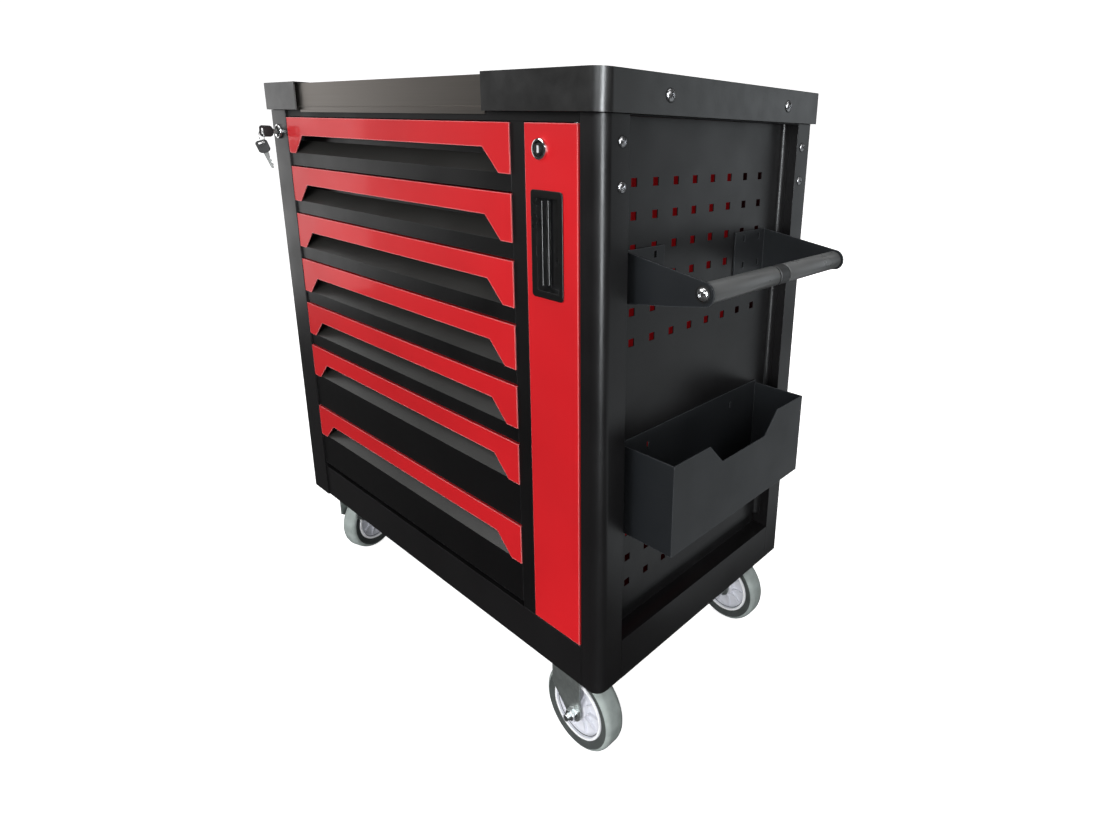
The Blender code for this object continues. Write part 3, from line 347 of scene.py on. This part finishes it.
def lathe(bm, profile, place, steps=72, slots=None):
    """Turns a closed loop of (radius, along) points about the place's Z.

    slots gives a material index per segment.
    """
    rings = []
    for i in range(steps):
        turn = 2 * math.pi * i / steps
        c, s = math.cos(turn), math.sin(turn)
        rings.append([bm.verts.new(place @ Vector((r * c, r * s, a))) for r, a in profile])
    count = len(profile)
    for i in range(steps):
        one, two = rings[i], rings[(i + 1) % steps]
        for k in range(count):
            m = (k + 1) % count
            quad = [one[k], two[k], two[m], one[m]]
            starts_on_axis, ends_on_axis = profile[k][0] < 1e-7, profile[m][0] < 1e-7
            if starts_on_axis and ends_on_axis:
                continue
            if starts_on_axis:
                quad.pop(1)
            elif ends_on_axis:
                quad.pop(2)
            face = bm.faces.new(quad)
            if slots:
                face.material_index = slots[k]
    return bm


def turned(name, profile, place, mats, body, steps=72, slots=None):
    """A turned piece of its own."""
    bm = lathe(bmesh.new(), profile, place, steps, slots)
    return piece(name, finished(bm, name), mats, body)


def sheet_shape(name, outlines, thickness, place, bevel=0.0003):
    """A flat outline with holes, given thickness and rounded edges, as a mesh."""
    curve = bpy.data.curves.new(name, "CURVE")
    curve.dimensions = "2D"
    curve.fill_mode = "BOTH"
    curve.extrude = thickness / 2 - bevel
    curve.bevel_depth = bevel
    curve.bevel_resolution = 2
    curve.offset = -bevel
    for outline in outlines:
        spline = curve.splines.new("POLY")
        spline.points.add(len(outline) - 1)
        for point, (u, v) in zip(spline.points, outline):
            point.co = (u, v, 0.0, 1.0)
        spline.use_cyclic_u = True
    holder = bpy.data.objects.new(name, curve)
    bpy.context.scene.collection.objects.link(holder)
    mesh = bpy.data.meshes.new_from_object(holder.evaluated_get(bpy.context.evaluated_depsgraph_get()))
    bpy.data.objects.remove(holder)
    mesh.transform(place)
    bm = bmesh.new()
    bm.from_mesh(mesh)
    bpy.data.meshes.remove(mesh)
    return finished(bm, name)


def circle(radius, count, turn=0.0):
    """A ring of points about the origin; few points make a polygon."""
    points = []
    for i in range(count):
        angle = turn + 2 * math.pi * i / count
        points.append((radius * math.cos(angle), radius * math.sin(angle)))
    return points


def rounded(low, high, radius, steps):
    """A rectangle's outline with rounded corners."""
    points = []
    for cx, cy, start in ((high[0] - radius, low[1] + radius, 270), (high[0] - radius, high[1] - radius, 0),
                          (low[0] + radius, high[1] - radius, 90), (low[0] + radius, low[1] + radius, 180)):
        for i in range(steps + 1):
            angle = math.radians(start + 90 * i / steps)
            points.append((cx + radius * math.cos(angle), cy + radius * math.sin(angle)))
    return points


def tube(name, points, radius, mat, body, cyclic=False):
    """A round wire along the points."""
    curve = bpy.data.curves.new(name, "CURVE")
    curve.dimensions = "3D"
    curve.bevel_depth = radius
    curve.bevel_resolution = 4
    curve.use_fill_caps = True
    spline = curve.splines.new("POLY")
    spline.points.add(len(points) - 1)
    for point, place in zip(spline.points, points):
        point.co = (*place, 1.0)
    spline.use_cyclic_u = cyclic
    holder = bpy.data.objects.new(name, curve)
    bpy.context.scene.collection.objects.link(holder)
    mesh = bpy.data.meshes.new_from_object(holder.evaluated_get(bpy.context.evaluated_depsgraph_get()))
    bpy.data.objects.remove(holder)
    return piece(name, mesh, mat, body)


def dome(radius, height, steps=6):
    """Half of a button head's outline, from its rim to the axis."""
    points = []
    for i in range(steps + 1):
        angle = math.pi / 2 * i / steps
        points.append((radius * math.cos(angle), height * math.sin(angle)))
    points[-1] = (0.0, height)
    return points


def carved(mesh, cutters):
    """The mesh with each cutter mesh taken away."""
    base = bpy.data.objects.new("base", mesh)
    bpy.context.scene.collection.objects.link(base)
    extra = []
    for cutter in cutters:
        tool = bpy.data.objects.new("tool", cutter)
        bpy.context.scene.collection.objects.link(tool)
        extra.append(tool)
        cut = base.modifiers.new("cut", "BOOLEAN")
        cut.operation = "DIFFERENCE"
        cut.solver = "EXACT"
        cut.object = tool
    bpy.context.view_layer.update()
    result = bpy.data.meshes.new_from_object(base.evaluated_get(bpy.context.evaluated_depsgraph_get()))
    for obj in [base] + extra:
        bpy.data.objects.remove(obj)
    return result


def block(low, high, place):
    """A box between two corners, moved by place."""
    bm = bmesh.new()
    low, high = Vector(low), Vector(high)
    size = Matrix.Diagonal((*(high - low), 1.0))
    bmesh.ops.create_cube(bm, size=1.0, matrix=place @ Matrix.Translation((low + high) / 2) @ size)
    return finished(bm, "block")


# ---------------------------------------------------------------- screws, bolts, nuts
def cross_screw(name, centre, axis, radius, body, turn=0.0):
    """Button head with a Phillips recess."""
    place = basis(centre, axis)
    bm = lathe(bmesh.new(), [(0.0, 0.0), (radius, 0.0)] + dome(radius, radius * 0.5), place, 40)
    slot_half, reach = radius * 0.13, radius * 0.52
    spin = place @ Matrix.Rotation(turn, 4, "Z")
    cutters = [block((-reach, -slot_half, radius * 0.18), (reach, slot_half, radius), spin),
               block((-slot_half, -reach, radius * 0.18), (slot_half, reach, radius), spin)]
    piece(name, carved(finished(bm, name), cutters), SCREW, body)
    turned(name + "_washer", [(radius * 0.5, 0.0), (radius * 1.12, 0.0), (radius * 1.12, 0.0003),
                              (radius * 0.5, 0.0004)], place, BLACK_AND_PAINTED_SHADE, body, 40)


def socket_bolt(name, centre, axis, radius, height, body):
    """Domed bolt head with a hexagon socket; the black washer below it is made by the caller."""
    place = basis(centre, axis)
    bm = lathe(bmesh.new(), [(0.0, 0.0), (radius, 0.0), (radius, height * 0.2)]
               + [(r, height * 0.2 + a) for r, a in dome(radius, height * 0.8, 8)], place, 56)
    socket_place = place @ Matrix.Translation((0, 0, height * 0.95))
    hexagon = sheet_shape("hexagon", [circle(radius * 0.42, 6)], height, socket_place, 0.0)
    piece(name, carved(finished(bm, name), [hexagon]), CHROME, body)


def hex_nut(name, centre, axis, across, height, bolt, body, mat):
    """Nut with the end of its bolt, a washer below, and turned threads."""
    washer, stub = 0.0012, 0.0065
    place = basis(centre, axis)
    turned(name + "_washer", [(bolt, 0.0), (across * 0.62, 0.0), (across * 0.62, washer), (bolt, washer)],
           place, mat, body, 40)
    up = place @ Matrix.Translation((0, 0, washer + height / 2))
    hexagon = circle(across / math.sqrt(3), 6, turn=0.3)
    piece(name, sheet_shape(name, [hexagon], height, up, 0.0008), mat, body)
    top, end = washer + height, washer + height + stub
    profile = [(0.0, 0.0), (bolt, 0.0), (bolt, top)]
    steps = 6
    for i in range(steps):
        along = top + (end - top) * i / steps
        profile += [(bolt * 0.86, along + 0.0002), (bolt, along + (end - top) / steps * 0.6)]
    profile += [(bolt * 0.8, end), (0.0, end)]
    turned(name + "_end", profile, place, mat, body, 32)


# ---------------------------------------------------------------- casters
def caster_wheel(where):
    """Grey tyre with a darker wall, on a dished plastic wheel with ribs."""
    body = "wheel_" + where
    joint = JOINTS["wheel_spin_" + where]
    place = basis(joint["pos_m"], joint["axis"])
    low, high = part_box("tyre_" + where)
    radius = (high.z - low.z) / 2
    half = 0.0155
    side = [(radius, 0.007), (radius - 0.0003, 0.0095), (radius - 0.0014, 0.0124), (radius - 0.0032, 0.0143),
            (radius - 0.006, half), (radius - 0.0090, half), (radius - 0.0096, 0.0150),
            (radius - 0.0122, 0.0149), (radius - 0.0150, 0.0142), (0.0466, 0.0132)]
    profile = side + [(r, -a) for r, a in reversed(side)]
    slots = [0, 0, 0, 0] + [1] * 11 + [0, 0, 0, 0, 0]
    tyre = turned("tyre_skin_" + where, profile, place, [TREAD, WALL], body, 120, slots)
    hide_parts("tyre_" + where)

    dish = [(0.0461, 0.0138), (0.0454, 0.0151), (0.0428, 0.0153), (0.0420, 0.0146), (0.0416, 0.0118),
            (0.0408, 0.0112), (0.0398, 0.0086), (0.0380, 0.0074), (0.0300, 0.0062), (0.0185, 0.0066),
            (0.0168, 0.0090), (0.0160, 0.0138), (0.0148, 0.0150), (0.0120, 0.0152), (0.0112, 0.0146),
            (0.0064, 0.0146)]
    outline = dish + [(r, -a) for r, a in reversed(dish)]
    last = len(outline) - 1
    dish_slot, rim_slot, groove_shade_slot = 0, 1, 2
    coloured = [dish_slot] * len(outline)
    for k in (0, 1, 2, last - 3, last - 2, last - 1):
        coloured[k] = rim_slot
    # painted shade: the groove inside the rim takes the dark sidewall rubber
    for k in (4, last - 5):
        coloured[k] = groove_shade_slot
    bm = lathe(bmesh.new(), outline, place, 120, coloured)
    ribs, rib_half = 10, 0.0009
    rib = [(0.0155, 0.0120), (0.0250, 0.0102), (0.0405, 0.0098), (0.0405, 0.0055), (0.0155, 0.0055)]
    for i in range(ribs):
        spin = place @ Matrix.Rotation(2 * math.pi * i / ribs, 4, "Z")
        for side_sign in (-1, 1):
            loops = []
            for offset in (-rib_half, rib_half):
                loops.append([bm.verts.new(spin @ Vector((r, offset, a * side_sign))) for r, a in rib])
            bm.faces.new(loops[0])
            bm.faces.new(loops[1][::-1])
            for k in range(len(rib)):
                m = (k + 1) % len(rib)
                bm.faces.new((loops[0][k], loops[1][k], loops[1][m], loops[0][m]))
    hub = piece("hub_skin_" + where, finished(bm, "hub"), [HUB, RIM, WALL], body)
    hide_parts("hub_" + where)


def axle_nuts(where, body):
    """A nut at each end of the axle."""
    joint = JOINTS["wheel_spin_" + where]
    centre, axis = Vector(joint["pos_m"]), Vector(joint["axis"])
    for sign, label in ((-1, "a"), (1, "b")):
        hex_nut("axle_nut_%s_%s" % (where, label), centre + axis * sign * 0.0216, axis * sign, 0.0150, 0.0070,
                0.0046, body, BRIGHT_ZINC)


for corner in ("front_right", "rear_right", "front_left", "rear_left"):
    caster_wheel(corner)
    axle_nuts(corner, "cabinet" if "right" in corner else "caster_" + corner)

for corner in ("front_left", "rear_left"):
    pivot = Vector(JOINTS["swivel_" + corner]["pos_m"])
    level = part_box("caster_fork_" + corner)[1].z
    turned("race_skin_" + corner, [(0.0, -0.006), (0.0285, -0.006), (0.0300, -0.0045), (0.0300, -0.0022),
                                   (0.0285, -0.0008), (0.0, -0.0004)],
           basis(Vector((pivot.x, pivot.y, level)), Z), FORK_ZINC, "caster_" + corner)


# ---------------------------------------------------------------- handle
def handle():
    """Two grips and a collar on the push bar, with a socket bolt at each end."""
    bar_low, bar_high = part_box("handle_bar")
    centre = (Vector(bar_low) + Vector(bar_high)) / 2
    for where in ("front", "rear"):
        low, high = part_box("handle_grip_" + where)
        length = high.y - low.y
        radius = (high.z - low.z) / 2
        profile = [(0.0098, 0.0), (radius - 0.0016, 0.0), (radius - 0.0005, 0.0005), (radius, 0.0016),
                   (radius, length - 0.0016), (radius - 0.0005, length - 0.0005), (radius - 0.0016, length),
                   (0.0098, length)]
        grip = turned("grip_skin_" + where, profile, basis((centre.x, low.y, centre.z), Y), GRIP, "cabinet",
                      96)
        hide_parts("handle_grip_" + where)
    length = bar_high.y - bar_low.y
    middle, half = length / 2, 0.010
    profile = [(0.0075, 0.0), (0.0095, 0.0), (0.0095, middle - half), (0.0112, middle - half),
               (0.0122, middle - half + 0.001), (0.0122, middle + half - 0.001), (0.0112, middle + half),
               (0.0095, middle + half), (0.0095, length), (0.0075, length)]
    bar = turned("bar_skin", profile, basis((centre.x, bar_low.y, centre.z), Y), COLLAR, "cabinet",
                 96)
    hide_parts("handle_bar")
    for where, sign in (("front", -1), ("rear", 1)):
        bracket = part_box("handle_bracket_" + where)
        face = bracket[0].y if sign < 0 else bracket[1].y
        place = Vector((centre.x, face + sign * 0.0001, centre.z))
        turned("bolt_washer_" + where, [(0.0045, 0.0), (0.0100, 0.0), (0.0100, 0.0006), (0.0045, 0.0008)],
               basis(place, Y * sign), BLACK_AND_PAINTED_SHADE, "cabinet", 48)
        socket_bolt("bolt_skin_" + where, place + Y * sign * 0.0007, Y * sign, 0.0078, 0.0046, "cabinet")
        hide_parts("handle_bolt_" + where)


handle()


# ---------------------------------------------------------------- locks and keys
def lock_face(label, node_barrel, node_plug, fixed_body, turning_body):
    """Chrome flange with a stepped ring, and a plug face with its keyway."""
    low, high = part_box(node_barrel)
    centre = Vector(((low.x + high.x) / 2, low.y + 0.0040, (low.z + high.z) / 2))
    place = basis(centre, -Y)
    length = high.y - centre.y
    profile = [(0.0063, -length), (0.0090, -length), (0.0090, 0.0), (0.0120, 0.0003), (0.0120, 0.0018),
               (0.0114, 0.0032), (0.0104, 0.0038), (0.0094, 0.0038), (0.0088, 0.0032), (0.0084, 0.0006),
               (0.0063, 0.0006)]
    # painted shade: the last three profile segments, the recess inside the flange, are deep black
    barrel = turned(label + "_barrel_skin", profile, place, [CHROME, BLACK_AND_PAINTED_SHADE], fixed_body, 80,
                    [0] * 8 + [1, 1, 1])
    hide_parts(node_barrel)
    front = centre.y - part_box(node_plug)[0].y
    slot = rounded((-0.0021, -0.0040), (0.0021, 0.0040), 0.0008, 3)
    face = sheet_shape(label + "_face", [circle(0.0060, 56), slot], 0.0010,
                       place @ Matrix.Translation((0, 0, front + 0.0005)), 0.0003)
    piece(label + "_plug_face", face, PLUG_BLACK, turning_body)
    # painted light: the keyway disc glows faintly
    turned(label + "_keyway", [(0.0, front - 0.0001), (0.0055, front - 0.0001), (0.0055, front + 0.0002),
                               (0.0, front + 0.0002)], place, SHUTTER, turning_body, 40)
    dress([node_plug], ZINC, 0.0)
    return centre


def key_shape(name, place, body):
    """A key in its own plane: slotted bow towards +X, blade with its cuts towards -X."""
    bow = [(0.0, -0.0030), (0.0022, -0.0075), (0.0050, -0.0092), (0.0180, -0.0095), (0.0208, -0.0078),
           (0.0218, -0.0050), (0.0218, 0.0050), (0.0208, 0.0078), (0.0180, 0.0095), (0.0050, 0.0092),
           (0.0022, 0.0075), (0.0, 0.0030)]
    hole = rounded((0.0160, -0.0050), (0.0190, 0.0050), 0.0012, 4)
    piece(name + "_bow", sheet_shape(name, [bow, hole], 0.0030, place, 0.0007), KEY_PLASTIC, body)
    blade = [(0.0006, -0.0038), (0.0006, 0.0038), (-0.0030, 0.0038), (-0.0250, 0.0030), (-0.0270, 0.0010),
             (-0.0270, -0.0008)]
    x = -0.0250
    for depth in (0.0012, 0.0026, 0.0014, 0.0028, 0.0018, 0.0030):
        blade += [(x, -depth), (x + 0.0022, -depth)]
        x += 0.0034
    blade += [(-0.0030, -0.0038)]
    piece(name + "_blade", sheet_shape(name, [blade[::-1]], 0.0016, place, 0.0003), NICKEL, body)


lock = lock_face("drawer_lock", "drawer_lock_barrel", "drawer_lock_plug", "cabinet", "drawer_lock")
lock_face("door_lock", "door_lock_barrel", "door_lock_plug", "door", "door_lock")
key_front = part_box("lock_key")[0].y
toward = Matrix(((0, 0, 1, 0), (-1, 0, 0, 0), (0, -1, 0, 0), (0, 0, 0, 1)))
key_shape("lock_key_skin", Matrix.Translation((lock.x, key_front + 0.0218, lock.z)) @ toward, "drawer_lock")
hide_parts("lock_key")

# the ring hangs sideways from the inserted key, and the spare key hangs from its far side
ring_radius = 0.0105
ring_top = Vector((lock.x, key_front + 0.0043, lock.z - 0.0004))
swing = Vector((-0.57, 0.0, -0.82)).normalized()
ring_centre = ring_top + swing * ring_radius
ring = [ring_centre + Vector((u, 0.0, v)) for u, v in circle(ring_radius, 48)]
tube("key_ring", ring, 0.0006, BRIGHT_ZINC, "drawer_lock", True)
upward = Vector((-0.27, -0.22, 0.90)).normalized()
facing = Vector((0.93, -0.36, 0.0))
facing = (facing - upward * facing.dot(upward)).normalized()
hang = Matrix((upward, facing.cross(upward), facing)).transposed().to_4x4()
hang.translation = ring_centre + swing * ring_radius - upward * 0.0195
key_shape("spare_key", hang, "drawer_lock")


# ---------------------------------------------------------------- screws on the right side
cap_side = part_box("right_end_cap")[1].x
post_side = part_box("right_front_post")[1].x
rng = random.Random(7)
for label, face, spots, radius in (
        ("cap_screw", cap_side, ((0.099, 0.7385), (0.354, 0.7385)), 0.0072),
        ("front_post_screw", post_side, ((0.0315, 0.689), (0.0315, 0.642)), 0.0062),
        ("rear_post_screw", post_side, ((0.4150, 0.684), (0.4150, 0.636)), 0.0060)):
    for i, (y, z) in enumerate(spots):
        spot = at(0.0, y, z)
        cross_screw("%s_%d" % (label, i + 1), Vector((face, spot.y, spot.z)), X, radius, "cabinet",
                    rng.uniform(0.0, math.pi / 2))


# ---------------------------------------------------------------- crease along the worktop's lower edge
sheet_low, sheet_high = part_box("worktop_sheet")
crease_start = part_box("left_end_cap")[1].x - 0.002
crease_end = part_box("right_end_cap")[0].x + 0.002
crease_z = at(0.0, 0.0, 0.7225).z
for label, y in (("front", sheet_low.y), ("rear", sheet_high.y)):
    tube("worktop_crease_" + label, [(crease_start, y, crease_z), (crease_end, y, crease_z)],
         0.0007, STAINLESS, "cabinet")


# ---------------------------------------------------------------- moulded ridges on the pull's sloping wall
pull_low, pull_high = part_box("door_pull")
ridge_bottom, ridge_top = pull_low.z + 0.0125, pull_high.z - 0.0125
for label, across, inward in (("outer", 0.0118, 0.0066), ("inner", 0.0156, 0.0126)):
    x, y = pull_low.x + across, pull_low.y + inward
    tube("pull_ridge_" + label, [(x, y, ridge_bottom), (x, y, ridge_top)], 0.0012, RIDGE, "door")


# ---------------------------------------------------------------- bin tabs
bin_low, bin_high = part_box("side_bin")
bin_middle = (bin_low.y + bin_high.y) / 2
tab_z = at(0, 0, 0.308).z
tab_outline = [(v, u) for u, v in rounded((-0.0018, -0.0046), (0.0018, 0.0046), 0.0006, 3)]
facing_out = Matrix.Rotation(math.radians(90), 4, "Y")
for i, offset in enumerate((-0.1045, 0.082)):
    spot = Matrix.Translation((bin_low.x + 0.0034, bin_middle + offset, tab_z))
    tab = sheet_shape("bin_tab", [tab_outline], 0.0012, spot @ facing_out)
    piece("bin_tab_%d" % (i + 1), tab, DARK, "cabinet")


# ---------------------------------------------------------------- studio
AZIMUTH, ELEVATION, ROLL = (math.radians(angle) for angle in (39.633, 15.508, 1.739))
FRAME_WIDTH, FRAME_HEIGHT = 1098.0, 823.0
FOCAL_LENGTH = 671.7                  # in the same units as the frame
FRAME_CENTRE = (659.8, 318.6)         # where the lens axis meets the frame, from its upper left corner
SENSOR_WIDTH = 36.0
FLOOR_REACH = 9.0
FLOOR_BEND_START, FLOOR_BEND_RADIUS = 3.0, 2.5
COOL = (0.93, 0.97, 1.0)


def studio_floor():
    """Pale floor that sweeps up behind the object: bright to the camera, dark in reflections."""
    bm = bmesh.new()
    path = [(-FLOOR_REACH, 0.0), (FLOOR_BEND_START, 0.0)]
    for i in range(1, 13):
        angle = math.pi / 2 * i / 12
        path.append((FLOOR_BEND_START + FLOOR_BEND_RADIUS * math.sin(angle),
                     FLOOR_BEND_RADIUS - FLOOR_BEND_RADIUS * math.cos(angle)))
    path.append((FLOOR_BEND_START + FLOOR_BEND_RADIUS, FLOOR_REACH))
    turn = Matrix.Rotation(math.radians(39.6), 4, "Z")
    rows = []
    for side in (-FLOOR_REACH, FLOOR_REACH):
        rows.append([bm.verts.new(turn @ Vector((side, along, up))) for along, up in path])
    for i in range(len(path) - 1):
        bm.faces.new((rows[0][i], rows[1][i], rows[1][i + 1], rows[0][i + 1]))
    mesh = bpy.data.meshes.new("studio_floor")
    bm.to_mesh(mesh)
    bm.free()
    mesh.shade_smooth()
    floor = bpy.data.objects.new("studio_floor", mesh)
    bpy.context.scene.collection.objects.link(floor)
    look = Look("studio_paper", (0.86, 0.86, 0.86), 0.9)
    look.set("Specular IOR Level", 0.1)
    look.set("Emission Color", (1.0, 1.0, 1.0, 1.0))
    camera_ray = look.nodes.new("ShaderNodeLightPath").outputs["Is Camera Ray"]
    look.set("Base Color", look.levels(camera_ray, (0.06, 0.06, 0.06), (0.86, 0.86, 0.86), 0.0, 1.0))
    look.set("Emission Strength", look.levels(camera_ray, 0.0, 0.88, 0.0, 1.0))
    mesh.materials.append(look.mat)


def studio_sky():
    """White behind the floor, but only a faint glow on the object."""
    world = bpy.data.worlds.new("studio")
    world.use_nodes = True
    nodes, links = world.node_tree.nodes, world.node_tree.links
    strength = nodes.new("ShaderNodeMapRange")
    strength.inputs["To Min"].default_value = 0.07
    strength.inputs["To Max"].default_value = 1.0
    links.new(nodes.new("ShaderNodeLightPath").outputs["Is Camera Ray"], strength.inputs["Value"])
    nodes["Background"].inputs["Color"].default_value = (1.0, 1.0, 1.0, 1.0)
    links.new(strength.outputs["Result"], nodes["Background"].inputs["Strength"])
    bpy.context.scene.world = world


def softbox(name, place, target, size, radiance, colour=(1.0, 1.0, 1.0), diffuse=True, glossy=True):
    """A rectangular light, unseen by the camera; it can be kept out of diffuse or of glossy light."""
    data = bpy.data.lights.new(name, "AREA")
    data.shape = "RECTANGLE"
    data.size, data.size_y = size
    data.energy = radiance * math.pi * size[0] * size[1]
    data.color = colour
    obj = bpy.data.objects.new(name, data)
    bpy.context.scene.collection.objects.link(obj)
    obj.location = place
    obj.rotation_euler = (Vector(target) - Vector(place)).to_track_quat("-Z", "Y").to_euler()
    obj.visible_camera = False
    obj.visible_diffuse = diffuse
    obj.visible_glossy = glossy


def lights():
    """Broad soft light from the front, with sheens placed for the coated and polished faces."""
    softbox("fill", (0.6, -4.6, 2.0), (0.0, 0.0, 0.4), (3.0, 2.4), 6.0, glossy=False)
    softbox("low_fill", (1.5, -3.0, 0.40), (0.0, 0.0, 0.2), (2.4, 0.7), 8.0, glossy=False)
    softbox("key", (-1.8, -3.2, 3.2), (0.0, 0.0, 0.5), (2.4, 2.0), 6.5, diffuse=False)
    softbox("right", (3.2, -0.4, 2.6), (0.3, 0.1, 0.5), (2.0, 1.6), 3.2)
    softbox("streak", (2.21, -1.53, 0.85), (0.44, -0.2, 0.6), (0.42, 1.8), 26.0, COOL, False)
    softbox("front_right", (2.6, -2.0, 1.1), (0.44, 0.1, 0.6), (1.0, 1.4), 2.0, COOL, glossy=False)
    softbox("cap_streak", (1.0, -2.2, 1.5), (0.44, -0.2, 0.9), (1.0, 0.5), 9.0, COOL, False)
    softbox("left", (-2.6, -0.75, 0.85), (-0.4, -0.2, 0.6), (1.3, 1.7), 1.3, diffuse=False)
    softbox("rear", (1.7, 2.3, 0.75), (0.3, 0.1, 0.6), (1.6, 1.5), 0.9, (0.90, 0.96, 1.0), False)
    softbox("rear_low", (1.35, 0.95, 0.012), (1.35, 0.95, 1.0), (1.7, 1.7), 0.5, (0.92, 0.97, 1.0), False)
    softbox("back", (-1.0, 3.6, 2.2), (0.0, 0.2, 0.5), (2.6, 2.0), 5.0, glossy=False)
    softbox("back_sheen", (-1.0, 3.6, 2.2), (0.0, 0.2, 0.5), (3.4, 2.6), 0.8, diffuse=False)
    softbox("top", (0.0, 0.2, 4.0), (0.0, 0.0, 0.0), (3.0, 3.0), 1.8)


def camera():
    """Seen from the front right, a little from above, with the lens shifted."""
    back = Vector((math.sin(AZIMUTH) * math.cos(ELEVATION), -math.cos(AZIMUTH) * math.cos(ELEVATION),
                   math.sin(ELEVATION)))
    right = Z.cross(back).normalized()
    up = back.cross(right)
    tilted_right = right * math.cos(ROLL) + up * math.sin(ROLL)
    tilted_up = up * math.cos(ROLL) - right * math.sin(ROLL)
    data = bpy.data.cameras.new("camera")
    data.sensor_width = SENSOR_WIDTH
    data.lens = SENSOR_WIDTH * FOCAL_LENGTH / FRAME_WIDTH
    data.shift_x = (FRAME_WIDTH / 2 - FRAME_CENTRE[0]) / FRAME_WIDTH
    data.shift_y = (FRAME_CENTRE[1] - FRAME_HEIGHT / 2) / FRAME_WIDTH
    obj = bpy.data.objects.new("camera", data)
    bpy.context.scene.collection.objects.link(obj)
    turn = Matrix((tilted_right, tilted_up, back)).transposed().to_4x4()
    obj.matrix_world = Matrix.Translation(at(1.2914, -0.4959, 0.6996)) @ turn
    bpy.context.scene.camera = obj


studio_floor()
studio_sky()
lights()
camera()
bpy.context.scene.view_settings.view_transform = "Standard"
